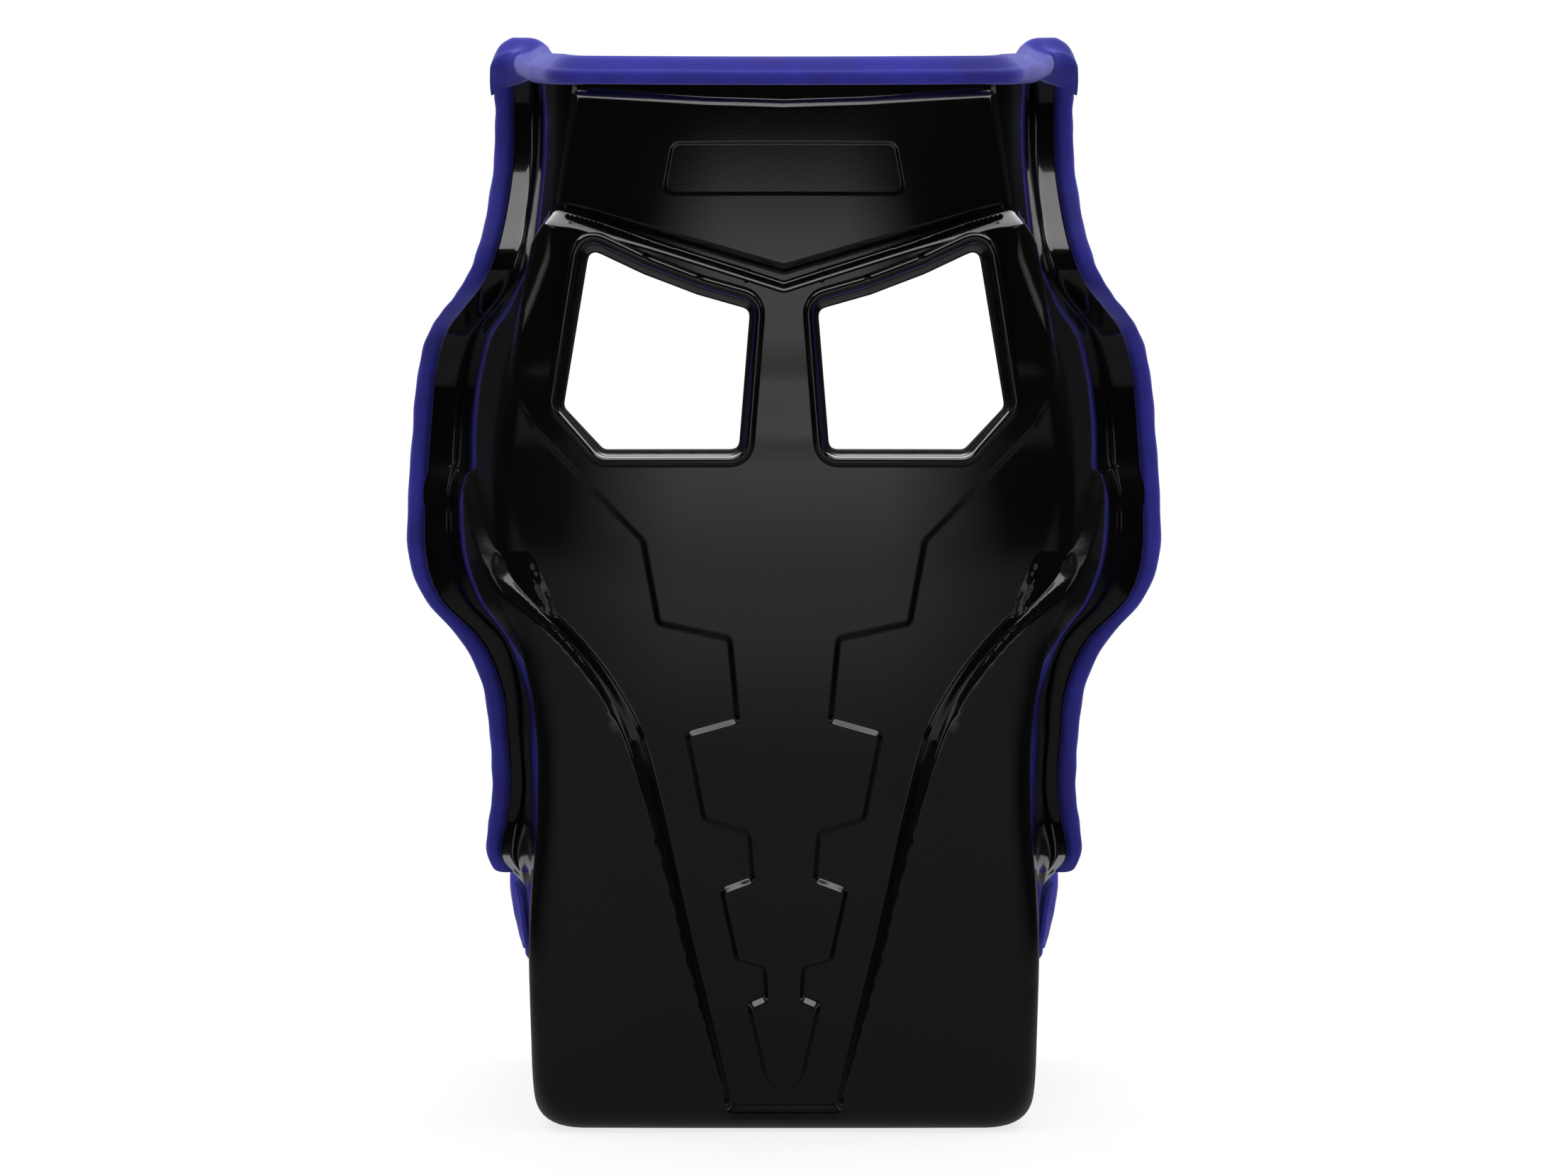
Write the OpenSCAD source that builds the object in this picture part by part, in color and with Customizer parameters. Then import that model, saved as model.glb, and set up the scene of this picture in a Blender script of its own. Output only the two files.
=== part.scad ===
// Fixed-back racing seat: a moulded shell, its padding, three lift-out cushions and its side mounts.
// +X is the occupant's right, +Y is forward and +Z is up. The origin lies on the flat base,
// midway between the side mounting bolts.

/* [Shell] */
// Thickness of the moulded shell
wall = 4; // [3:0.5:5]
// Width across the flat sides of the seat pan, where the side mounts bolt on
pan_width = 405; // [400:1:412]
// Radius of the corner between the back panel or the base and the side walls
corner_r = 30; // [22:1:36]
// Radius of the same corner at the seat pan
pan_corner_r = 46; // [40:1:50]
// Radius of the bend from a side wall into its outward lip
lip_r = 9; // [6:1:11]
// Forward bow of the back panel's side edges
crown = 10; // [6:1:14]

/* [Side view] */
// Distance of the base's rear end behind the origin
base_rear = 186; // [176:1:196]
// Radius of the bend from the base up into the back
heel_r = 42; // [34:1:50]
// Lean of the lower back from upright, in degrees
lean_low = 9; // [7:1:11]
// Lean of the upper back from upright, in degrees
lean_high = 17; // [15:1:19]
// Height at which the back changes its lean
lean_z = 300; // [280:5:320]
// Height of the shell's rear top edge
top_z = 810; // [796:1:824]
// Distance ahead of the origin where the base starts to rise
base_front = 85; // [80:1:95]
// Distance of the front lip ahead of the origin
pan_front = 290; // [275:1:305]
// Height of the front lip
lip_z = 88; // [76:1:100]

/* [Wings] */
// Width over the lips at the head wings
head_width = 434; // [424:1:446]
// Width over the lips at the shoulder wings
shoulder_width = 597; // [580:1:608]
// Width over the lips at the ribs
rib_width = 472; // [462:1:484]
// Width over the lips at the thigh wings
thigh_width = 468; // [460:1:476]
// Width of the back panel between its rounded corners, at the shoulders
back_width = 444; // [430:1:456]
// Width of the back panel at the head
head_panel_width = 336; // [324:1:348]
// Width of the back panel at the waist
waist_width = 382; // [372:1:392]
// Height of the shoulder wings' upper ends
shoulder_z = 600; // [594:1:604]
// Height of the middle of the rib wings
rib_z = 262; // [258:1:266]
// Distance of the head wings' front edges behind the origin
head_edge = 229; // [222:1:236]
// Distance of the shoulder wings' front edges behind the origin
shoulder_edge = 112; // [106:1:118]
// Distance of the rib wings' front edges behind the origin
rib_edge = 50; // [46:1:56]
// Height of the thigh wings' tops
thigh_z = 226; // [214:1:236]
// Height of the lap belt cut-outs' lower edges
belt_z = 125; // [120:1:130]

/* [Hip relief] */
// Depth of the sunk centre panel below the hips, at the top of the hips
relief_high = 16; // [8:1:18]
// Depth of the sunk centre panel at its lower end
relief_low = 8; // [5:1:10]
// Half width of the sunk centre panel at its lower end
relief_half = 44; // [36:1:52]
// Width of the step from the sunk panel up to the hips
relief_step = 14; // [10:1:18]

/* [Harness slots] */
// Distance of a slot's inner side from the middle, at its top
slot_inner = 25.5; // [22:0.5:30]
// Width of a slot along its top
slot_width = 122; // [112:1:126]
// Height of a slot's lower edge
slot_low_z = 539; // [534:1:548]
// Height of a slot's upper outer corner
slot_high_z = 690; // [680:1:694]
// Fall of a slot's top edge towards the middle
slot_fall = 42; // [34:1:48]
// Thickness of the trim that lines a slot
trim_wall = 2.5; // [1.5:0.5:3]
// Width of the trim's flange round a slot, on the shell's back
trim_flange = 9; // [6:1:10]
// Thickness of the trim's flange
trim_flange_t = 4; // [3:0.5:5]

/* [Crotch strap slot] */
// Width of the strap slot across the seat
crotch_w = 70; // [60:1:80]
// Length of the strap slot along the seat
crotch_l = 30; // [24:1:32]
// Distance of the strap slot ahead of the origin
crotch_y = 50; // [44:1:52]
// Width of the strap guide's flange
guide_flange = 10; // [7:1:12]
// Thickness of the strap guide's flange
guide_t = 2.5; // [2:0.5:3]

/* [Side mounts] */
// Distance between a side's two mounting bolts
bolt_spacing = 290; // [280:1:295]
// Height of the mounting bolts
bolt_z = 82; // [78:1:86]
// Diameter of the threads, M8
bolt_d = 8; // [6:1:10]
// Diameter of the threaded bosses
boss_d = 18; // [15:1:20]
// Depth of the threaded bosses, from the outside of the shell
boss_l = 16; // [13:1:20]
// Thickness of the steel plate behind the wall
plate_t = 4; // [3:0.5:5]
// Height of the steel plate
plate_h = 34; // [30:1:38]
// Length of the plate beyond each bolt
plate_end = 20; // [16:1:24]

/* [Padding] */
// Thickness of the back pad
back_pad_t = 14; // [10:1:18]
// Thickness of the head pad
head_pad_t = 24; // [18:1:28]
// Thickness of the head wings' padding
head_wing_t = 18; // [14:1:22]
// Thickness of the shoulder bolsters on the walls
shoulder_t = 20; // [15:1:24]
// Thickness of the rib bolsters on the walls
rib_t = 30; // [24:1:34]
// Thickness of the thigh bolsters on the walls
thigh_t = 26; // [20:1:28]
// Thickness of the hip pads between the ribs and the thighs
hip_t = 15; // [13:1:18]
// Thickness of the liner on the base
liner_t = 5; // [3:1:7]
// Thickness of the padding on the lips
lip_pad_t = 13; // [10:1:16]
// Half width of the padding that wraps the shell's edge, seen from behind
edge_r = 6.5; // [5.5:0.5:8]
// Half width of the trim round the lap belt cut-outs
belt_trim_r = 4; // [3:0.5:5]
// Gap between a pad and what it lies on
fit_gap = 0.3; // [0.3:0.1:0.5]

/* [Lift-out cushions] */
// Thickness of the seat cushion
seat_cushion_t = 38; // [30:1:44]
// Thickness of the leg cushion
leg_cushion_t = 32; // [26:1:38]
// Width of the seat and leg cushions
cushion_w = 296; // [286:2:300]
// Gap between a cushion and the padding round it
cushion_gap = 3; // [2:0.5:5]
// Thickness of the lumbar cushion
lumbar_t = 26; // [20:1:30]
// Half width of the lumbar cushion
lumbar_half = 126; // [116:1:130]
// Height of the lumbar cushion's lower edge at the back pad
lumbar_low_z = 190; // [180:1:200]
// Height of the lumbar cushion's upper edge at the back pad
lumbar_high_z = 370; // [350:1:380]
// Thickness of the hook-and-loop strips under the cushions
strip_t = 1.5; // [1:0.25:2.5]
// Width of the hook-and-loop strips
strip_w = 25; // [18:1:30]

/* [Hidden] */

blue = [0.14, 0.14, 0.5];
black = [0.09, 0.09, 0.1];
dark = [0.2, 0.2, 0.22];
steel = [0.6, 0.62, 0.65];

pan_half = pan_width / 2;
pad_back = wall + fit_gap;
facet_gap = 0.5;

function mix(a, b, t) = a + (b - a) * t;
function clamp(x, low, high) = min(max(x, low), high);
function smooth(low, high, x) = let (t = clamp((x - low) / (high - low), 0, 1)) t * t * (3 - 2 * t);
function unit(v) = v / norm(v);
function left_of(v) = [-v.y, v.x];
function bend(a, b, c, t) = a * (1 - t) * (1 - t) + b * 2 * t * (1 - t) + c * t * t;

// ---- the side view: the line of the outer surface on the middle plane -----------------------
// It is followed by one length, which is negative up the back, 0 where the back meets the heel's
// arc, and grows along the arc, the base and the front.
lean_soft = 60;
heel_length = heel_r * (90 - lean_low) * PI / 180;
heel_top_y = -base_rear - heel_r * cos(lean_low);
heel_top_z = heel_r * (1 - sin(lean_low));
rise_power = 1.5;
// Heights between which the sunk centre panel fades out, and the pan's corner radius turns into the back's.
relief_fade_z = lean_z + 90;
relief_end_z = lean_z + 200;
round_fade_z = lean_z - 240;
round_end_z = lean_z - 40;

function soft_step(x) = lean_soft * ln(1 + exp(min(x / lean_soft, 30)));
function relief_depth(z) =
    mix(relief_low, relief_high, clamp(z / lean_z, 0, 1)) * (1 - smooth(relief_fade_z, relief_end_z, z));
function relief_at(v, z) = v < heel_length ? relief_depth(z) * smooth(26, 40, z) : 0;
function back_y(z) = heel_top_y - tan(lean_low) * (z - heel_top_z)
    - (tan(lean_high) - tan(lean_low)) * (soft_step(z - lean_z) - soft_step(heel_top_z - lean_z))
    - relief_depth(z) + relief_depth(heel_top_z);
function base_z(y) = lip_z * pow(max(y - base_front, 0) / (pan_front - base_front), rise_power);
function base_slope(y) =
    rise_power * lip_z / (pan_front - base_front)
    * pow(max(y - base_front, 0) / (pan_front - base_front), rise_power - 1);
function above_base(y, d) = base_z(y) + d * sqrt(1 + pow(base_slope(y), 2));
function at_back(z) = heel_top_z - z;
function at_heel(angle) = heel_r * (angle - lean_low) * PI / 180;
function at_base(y) = heel_length + y + base_rear;
function heel_angle(v) = lean_low + v / heel_r * 180 / PI;
function outline(v) = v < 0 ? [back_y(heel_top_z - v), heel_top_z - v]
    : v < heel_length
    ? [-base_rear - heel_r * cos(heel_angle(v)), heel_r * (1 - sin(heel_angle(v)))]
    : [v - heel_length - base_rear, base_z(v - heel_length - base_rear)];
function outline_normal(v) = left_of(unit(outline(v + 1) - outline(v - 1)));

// ---- the stations: where the shell's walls run from and to -----------------------------------
// Each has its start on the side view line, the lip's edge (y, z), the half widths of the panel,
// of the wall's middle and of the wall's end, the lip's width, and how far up the wall its
// middle lies, as a share.
head_half = head_width / 2;
shoulder_half = shoulder_width / 2;
rib_half = rib_width / 2;
thigh_half = thigh_width / 2;
head_panel = head_panel_width / 2;
back_panel = back_width / 2;
waist = waist_width / 2;

// The rows of one zone up the back. Each row is what its station adds to the zone's sizes: the start's
// height, the lip's edge (y, z), the three half widths, and then the lip's width.
function back_rows(z, edge, panel, half, rows) = [
    for (r = rows)
        [at_back(z + r[0]), r[1] - edge, z + r[2], panel + r[3], half + r[4], half + r[5], r[6], 0.5]
];

head_rows = back_rows(top_z, head_edge, head_panel, head_half, [
    [0, -33, 35, -1, -30, -20, 18],
    [-14, -13, 23, 0, -30, -20, 20],
    [-32, 0, 0, 0, -30, -20, 20],
    [-60, 0, -38, 1, -29, -19, 20],
    [-92, -14, -80, 4, -26, -15, 21],
    [-120, -27, -113, 8, -22, -10, 23]
]);
shoulder_rows = back_rows(shoulder_z, shoulder_edge, back_panel, shoulder_half, [
    [68, -132, 75, -39, -92, -82, 25],
    [48, -93, 60, -30, -80, -66, 26],
    [28, -48, 44, -21, -66, -48, 26],
    [0, -18, 14, -11, -56, -36, 26],
    [-38, -5, -28, -4, -50, -30, 25],
    [-85, 0, -79, 0, -48, -27, 26],
    [-134, 2, -132, -1, -47, -26, 27],
    [-174, 6, -173, -10, -57, -36, 25]
]);
rib_rows = back_rows(rib_z, rib_edge, waist, rib_half, [
    [128, -48, 128, 11, -14, -5, 22],
    [88, -36, 88, 4, -27, -15, 16],
    [46, -20, 48, 0, -30, -16, 14],
    [0, 0, 10, 1, -30, -17, 14],
    [-40, 16, -22, 4, -28, -13, 14],
    [-86, 12, -54, 8, -27, -9, 14]
]);
belt_rows = [
    [at_back(belt_z + 3), -62, belt_z + 61, pan_half, pan_half + 5, pan_half + 8, 8, 0.5],
    [at_back(belt_z - 49), -76, belt_z + 35, pan_half, pan_half + 3, pan_half + 4, 6, 0.5],
    [at_heel(42), -68, belt_z + 13, pan_half, pan_half, pan_half + 1, 6, 0.5],
    [at_base(-base_rear + 12), -44, belt_z + 1, pan_half, pan_half, pan_half + 1, 6, 0.5],
    [at_base(-110), -8, belt_z - 1, pan_half, pan_half, pan_half + 1, 6, 0.5],
    [at_base(-50), 30, belt_z + 9, pan_half, pan_half, pan_half + 4, 9, 0.66]
];
thigh_rows = [
    [at_base(0), 68, belt_z + 35, pan_half, pan_half, thigh_half - 20, 12, 0.68],
    [at_base(52), 108, thigh_z - 26, pan_half, pan_half, thigh_half - 16, 13, 0.62],
    [at_base(102), 148, thigh_z - 3, pan_half, pan_half, thigh_half - 14, 14, 0.58],
    [at_base(150), 186, thigh_z, pan_half, pan_half, thigh_half - 14, 14, 0.52],
    [at_base(196), 222, thigh_z - 14, pan_half, pan_half + 4, thigh_half - 14, 14, 0.5],
    [at_base(236), 252, thigh_z - 45, pan_half - 1, pan_half + 8, thigh_half - 15, 13, 0.5],
    [at_base(266), 274, thigh_z - 80, pan_half - 3, pan_half + 8, thigh_half - 17, 12, 0.5],
    [at_base(pan_front), pan_front + 4, lip_z + 20, pan_half - 8, pan_half, thigh_half - 22, 10, 0.5]
];
STATIONS = concat(head_rows, shoulder_rows, rib_rows, belt_rows, thigh_rows);
station_last = len(STATIONS) - 1;

function spline(a, b, c, d, t) = 0.5 * (b * 2 + (c - a) * t + (a * 2 - b * 5 + c * 4 - d) * t * t
    + (b * 3 - a - c * 3 + d) * t * t * t);
function row(i) = STATIONS[clamp(i, 0, station_last)];
function station(s) = let (i = min(floor(s), station_last - 1))
    spline(row(i - 1), row(i), row(i + 1), row(i + 2), s - i);

// Half width of the sunk centre panel at a height
function relief_edge(z) = relief_half + 0.225 * (z - 26) + 0.0037 * pow(max(z - 306, 0), 2);

// ---- the section at a station ---------------------------------------------------------------
// u runs from the middle: 0 to 1 over the panel, 2 at the end of its rounded corner, 3 to 4 the
// wall's middle, 5 to 6 the bend into the lip and 7 the lip's edge. d is the depth from the
// outer surface towards the occupant.
lip_drop = 3;
least_r = 8;

function corner_point(p, n1, d1, n2, d2) = p + [d1 * n2.y - d2 * n1.y, d2 * n1.x - d1 * n2.x]
    / (n1.x * n2.y - n1.y * n2.x);
function tan_half(a, b) = let (c = clamp(a * b, -0.99, 1)) sqrt((1 - c) / (1 + c));

function section(st, u, d) = let (
        start = outline(st[0]),
        reach = [st[1], st[2]] - start,
        deep = norm(reach),
        slant = 1 / max(unit(reach) * outline_normal(st[0]), 0.55),
        bow = crown * smooth(at_base(-base_rear + 30), at_back(200), st[0]),
        slope = 2 * bow / st[3],
        b = [st[3], bow],
        c = [st[5], deep - lip_drop],
        m = [st[4], max(deep * st[7], bow + 2)],
        e1 = unit([1, slope]),
        e2 = unit(m - b),
        e3 = unit(c - m),
        e4 = unit([st[6], lip_drop]),
        n1 = left_of(e1),
        n2 = left_of(e2),
        n3 = left_of(e3),
        n4 = left_of(e4),
        bo = corner_point(b, n1, d * slant * n1.y, n2, d),
        mo = m + (n2 + n3) / (1 + n2 * n3) * d,
        co = corner_point(c, n3, d, n4, d),
        end = [st[5] + st[6], deep] + n4 * d,
        round_b = mix(pan_corner_r, corner_r, smooth(at_back(round_fade_z), at_back(round_end_z), st[0])),
        cut_b = min(max(round_b - d, least_r) * tan_half(e1, e2), 0.45 * norm(mo - bo)),
        cut_m = 0.3 * min(norm(mo - bo), norm(co - mo)),
        cut_c = min((lip_r + d) * tan_half(e3, e4), 0.45 * norm(co - mo), 0.9 * norm(end - co)),
        w = abs(u)
    )
    w <= 1 ? panel_point(st[0], start.y, w, bo.x - e1.x * cut_b, st[3], bow, d * slant, slant)
    : w <= 2 ? bend(bo - e1 * cut_b, bo, bo + e2 * cut_b, w - 1)
    : w <= 3 ? mix(bo + e2 * cut_b, mo - e2 * cut_m, w - 2)
    : w <= 4 ? bend(mo - e2 * cut_m, mo, mo + e3 * cut_m, w - 3)
    : w <= 5 ? mix(mo + e3 * cut_m, co - e3 * cut_c, w - 4)
    : w <= 6 ? bend(co - e3 * cut_c, co, co + e4 * cut_c, w - 5)
    : mix(co + e4 * cut_c, end, w - 6);

// The panel's u is 0.5 at the sunk part's edge and 0.7 at the step's top.
function panel_point(v, z, w, x_end, half, bow, depth, slant) = let (
        edge = min(relief_edge(z), x_end - relief_step - 2),
        x = w < 0.5 ? edge * w / 0.5
            : w < 0.7 ? edge + relief_step * (w - 0.5) / 0.2
            : mix(edge + relief_step, x_end, (w - 0.7) / 0.3),
        sink = relief_at(v, z) * slant * (1 - smooth(0.5, 0.7, w))
    )
    [x, depth + bow * pow(x / half, 2) + sink];

function place(s, u, d) = let (
        st = station(s),
        start = outline(st[0]),
        dir = unit([st[1], st[2]] - start),
        p = section(st, u, d)
    )
    [sign(u) * p.x, start.x + dir.x * p.y, start.y + dir.y * p.y];

module one_side(side) {
    mirror([side < 0 ? 1 : 0, 0, 0])
    children();
}

// ---- solids between two skins ---------------------------------------------------------------
// back and front are grids of points, rows by columns. The cells before the middle column are
// split along the other diagonal, so that both sides of the seat are alike.
function skin_faces(rows, cols, first, middle, flip) = [
    for (i = [0 : rows - 2], j = [0 : cols - 2], half = [0, 1])
        let (
            a = first + i * cols + j,
            b = a + cols,
            f = j < middle ? (half == 0 ? [a, a + 1, b] : [a + 1, b + 1, b])
                : (half == 0 ? [a, a + 1, b + 1] : [a, b + 1, b])
        )
        flip ? [f[2], f[1], f[0]] : f
];

function border(rows, cols) = concat(
    [for (j = [0 : cols - 1]) j],
    [for (i = [1 : rows - 1]) i * cols + cols - 1],
    [for (j = [cols - 2 : -1 : 0]) (rows - 1) * cols + j],
    [for (i = [rows - 2 : -1 : 1]) i * cols]
);

module between(back, front) {
    rows = len(back);
    cols = len(back[0]);
    edge = border(rows, cols);
    n = rows * cols;
    middle = back[0][0].x < 0 ? (cols - 1) / 2 : 0;
    points = concat([for (r = back) each r], [for (r = front) each r]);
    sides = [
        for (k = [0 : len(edge) - 1], half = [0, 1])
            let (a = edge[k], b = edge[(k + 1) % len(edge)])
            half == 0 ? [a, n + b, b] : [a, n + a, n + b]
    ];
    polyhedron(points, concat(
        skin_faces(rows, cols, 0, middle, false), skin_faces(rows, cols, n, middle, true), sides));
}

function steps(a, b, n) = [for (i = [0 : n]) mix(a, b, i / n)];
function both_sides(us) = concat([for (i = [len(us) - 1 : -1 : 1]) -us[i]], us);

// A pad between its back at pad_back and a front whose depth is front_d(share of rows, u)
module pad(ss, us, front_d, back_d = pad_back) {
    last = len(ss) - 1;
    between(
        [for (i = [0 : last]) [for (u = us) place(ss[i], u, back_d)]],
        [for (i = [0 : last]) [for (u = us) place(ss[i], u, front_d(i / last, u))]]
    );
}

// Thickness that falls off towards both ends of a pad
function ends(share, full, thin) = mix(thin, full, smooth(0, 0.22, share) * smooth(1, 0.78, share));

// ---- where each zone of the padding starts and ends, in stations ----------------------------
s_head = 0.5;
s_neck = 5.5;
s_ribs = 13.5;
s_wing_end = 19.5;
s_panel_end = 20.5;
s_thighs = 25;
s_front = 32.5;
seam = 0.07;
shell_rows = steps(0, station_last, 2 * station_last);
shell_columns = [0, 0.25, 0.5, 0.6, 0.7, 1, 1.33, 1.67, 2, 3, 3.5, 4, 5, 5.33, 5.67, 6, 7];
side_columns = [1.33, 1.67, 2, 3, 3.5, 4, 5, 5.33, 5.67, 6, 7];
panel_columns = [0, 0.25, 0.5, 0.6, 0.7, 0.95];

// The stations from a to b, the ends drawn in by half a seam
function zone(a, b) = [for (s = shell_rows) if (s >= a && s <= b) clamp(s, a + seam, b - seam)];

module shell() {
    us = both_sides(shell_columns);
    color(black)
    difference() {
        between(
            [for (s = shell_rows) [for (u = us) place(s, u, 0)]],
            [for (s = shell_rows) [for (u = us) place(s, u, wall)]]
        );
        for (side = [-1, 1]) {
            slot_prism(side, trim_wall + fit_gap);
            for (end = [-1, 1])
                translate([side * pan_half, end * bolt_spacing / 2, bolt_z])
                rotate([0, 90, 0])
                cylinder(d = boss_d + 2 * fit_gap, h = 6 * wall, center = true, $fn = 48);
        }
        translate([0, crotch_y, 0])
        linear_extrude(8 * wall, center = true)
        rounded_box(crotch_w + 2 * (trim_wall + fit_gap), crotch_l + 2 * (trim_wall + fit_gap), 8);
    }
}

// ---- harness slots --------------------------------------------------------------------------
slot_flare = 23;
slot_chamfer_x = 31;
slot_chamfer_z = 36;
slot_draft = 9;
slot_corner_r = 9;
slot_reach = 120;

// A slot's corners as seen from straight behind: x outwards and z up
slot_corners = [
    [slot_inner, slot_high_z - slot_fall],
    [slot_inner + slot_width, slot_high_z],
    [slot_inner + slot_width + slot_flare, slot_low_z + slot_chamfer_z],
    [slot_inner + slot_width + slot_flare - slot_chamfer_x, slot_low_z],
    [slot_inner + slot_draft, slot_low_z]
];

// Corner i of an outline moved outwards by grow, then rounded
function grown_corner(points, i, grow) = let (
        n = len(points),
        a = points[(i + n - 1) % n],
        b = points[i],
        c = points[(i + 1) % n],
        n1 = left_of(unit(b - a)),
        n2 = left_of(unit(c - b))
    )
    b + (n1 + n2) / (1 + n1 * n2) * grow;

function rounded(points, r) = let (n = len(points)) [
    for (i = [0 : n - 1], t = [0 : 0.25 : 1])
        let (
            a = points[(i + n - 1) % n],
            b = points[i],
            c = points[(i + 1) % n],
            into = unit(b - a),
            out = unit(c - b),
            cut = r * tan_half(into, out)
        )
        bend(b - into * cut, b, b + out * cut, t)
];

function slot_outline(grow) = rounded(
    [for (i = [0 : len(slot_corners) - 1]) grown_corner(slot_corners, i, grow)], slot_corner_r + grow);

// The straight way through a slot, along Y
module slot_prism(side, grow) {
    mirror([side < 0 ? 1 : 0, 0, 0])
    translate([0, back_y(slot_low_z) + slot_reach / 2, 0])
    rotate([90, 0, 0])
    linear_extrude(slot_reach + layer_margin)
    polygon(slot_outline(grow));
}

layer_margin = 60;

// A flat layer that leans with the back, from one depth to another ahead of the shell's outside
module back_layer(from, to) {
    low = [back_y(slot_low_z), slot_low_z];
    high = [back_y(slot_high_z), slot_high_z];
    lean = atan2(low.x - high.x, high.y - low.y);
    translate([0, low.x, low.y])
    rotate([lean, 0, 0])
    translate([-back_width / 2, from, -layer_margin])
    cube([back_width, to - from, slot_high_z - slot_low_z + 2 * layer_margin]);
}

module harness_trim(side) {
    sleeve_end = pad_back + back_pad_t + 9;
    color(dark)
    difference() {
        union() {
            intersection() {
                slot_prism(side, trim_wall);
                back_layer(-1, sleeve_end);
            }
            intersection() {
                slot_prism(side, trim_flange);
                back_layer(-fit_gap - trim_flange_t, -fit_gap);
            }
        }
        slot_prism(side, 0);
    }
}

module rounded_box(w, l, r) {
    polygon(rounded([[-w / 2, -l / 2], [w / 2, -l / 2], [w / 2, l / 2], [-w / 2, l / 2]], r));
}

module crotch_strap_guide() {
    floor_top = wall;
    color(dark)
    translate([0, crotch_y, 0])
    difference() {
        union() {
            linear_extrude(floor_top + fit_gap)
            rounded_box(crotch_w + 2 * trim_wall, crotch_l + 2 * trim_wall, 8);
            translate([0, 0, floor_top + fit_gap])
            linear_extrude(guide_t)
            rounded_box(crotch_w + 2 * guide_flange, crotch_l + 2 * guide_flange, 12);
        }
        linear_extrude(40, center = true)
        rounded_box(crotch_w, crotch_l, 6);
    }
}

// ---- side mounts ----------------------------------------------------------------------------
module side_mount_plate(side) {
    inner = pan_half - wall - fit_gap;
    color(steel)
    mirror([side < 0 ? 1 : 0, 0, 0])
    difference() {
        union() {
            translate([inner - plate_t, -bolt_spacing / 2 - plate_end, bolt_z - plate_h / 2])
            cube([plate_t, bolt_spacing + 2 * plate_end, plate_h]);
            for (end = [-1, 1])
                translate([pan_half - boss_l, end * bolt_spacing / 2, bolt_z])
                rotate([0, 90, 0])
                cylinder(d = boss_d, h = boss_l, $fn = 64);
        }
        for (end = [-1, 1])
            translate([pan_half - boss_l - 1, end * bolt_spacing / 2, bolt_z])
            rotate([0, 90, 0])
            cylinder(d = bolt_d, h = boss_l + 2, $fn = 64);
    }
}

// What the padding leaves free round a side's plate and bosses
module plate_space(side) {
    half_l = bolt_spacing / 2 + plate_end + 2;
    half_h = plate_h / 2 + 1;
    one_side(side) {
        translate([pan_half - wall - plate_t - 2 * fit_gap, -half_l, bolt_z - half_h])
        cube([plate_t + wall, 2 * half_l, 2 * half_h]);
        for (end = [-1, 1])
            translate([pan_half - boss_l - fit_gap, end * bolt_spacing / 2, bolt_z])
            rotate([0, 90, 0])
            cylinder(d = boss_d + 2, h = boss_l + wall, $fn = 32);
    }
}

// ---- padding --------------------------------------------------------------------------------
module head_pad() {
    color(black)
    pad(zone(s_head, s_neck - 1), both_sides(panel_columns),
        function (share, u) pad_back + ends(share, head_pad_t, 6) * (1 - 0.4 * smooth(0.7, 1, abs(u))));
}

module back_pad() {
    color(black)
    difference() {
        pad(zone(s_neck - 1, s_panel_end), both_sides(panel_columns),
            function (share, u) pad_back + back_pad_t);
        for (side = [-1, 1])
            slot_prism(side, trim_wall + fit_gap);
    }
}

// A pad along one side's wall and lip, between two stations
module side_pad(side, from, to, wall_t, lip_t) {
    one_side(side)
    pad(zone(from, to), side_columns,
        function (share, u) pad_back + mix(ends(share, wall_t, 0.6 * wall_t), lip_t, smooth(5, 7, u))
            * mix(0.5, 1, smooth(1.2, 2, u)),
        pad_back + facet_gap);
}

module head_wing_pad(side) {
    color(blue)
    side_pad(side, s_head, s_neck, head_wing_t, lip_pad_t);
}

module shoulder_bolster(side) {
    color(blue)
    difference() {
        side_pad(side, s_neck, s_ribs, shoulder_t, lip_pad_t);
        slot_prism(side, trim_wall + fit_gap);
    }
}

module rib_bolster(side) {
    color(blue)
    side_pad(side, s_ribs, s_wing_end, rib_t, lip_pad_t);
}

module hip_pad(side) {
    color(black)
    difference() {
        side_pad(side, s_wing_end, s_thighs, hip_t, 6);
        plate_space(side);
    }
}

module thigh_bolster(side) {
    color(blue)
    difference() {
        side_pad(side, s_thighs, s_front, thigh_t, lip_pad_t);
        plate_space(side);
    }
}

module seat_liner() {
    color(black)
    difference() {
        pad(zone(s_panel_end, s_front), both_sides(panel_columns),
            function (share, u) pad_back + liner_t);
        translate([0, crotch_y, 0])
        linear_extrude(12 * wall, center = true)
        rounded_box(crotch_w + 2 * guide_flange + 1, crotch_l + 2 * guide_flange + 1, 12);
    }
}

// A roll along the shell's edge: its section is an oval beside the lip's edge, from behind the lip
// to the padding's front
roll_sides = 10;
roll_back = 5;
module edge_roll(ss, r, pad_t) {
    rings = [
        for (s = ss)
            let (
                edge = place(s, 7, 0),
                inward = unit(place(s, 7, 1) - edge),
                middle = edge + [r + fit_gap, 0, 0] + inward * (wall + pad_t - roll_back) / 2,
                half = (wall + pad_t + roll_back) / 2
            )
            [for (k = [0 : roll_sides - 1])
                let (a = 360 * k / roll_sides)
                middle + [r * cos(a), 0, 0] + inward * half * sin(a)]
    ];
    tube(rings);
}

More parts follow.
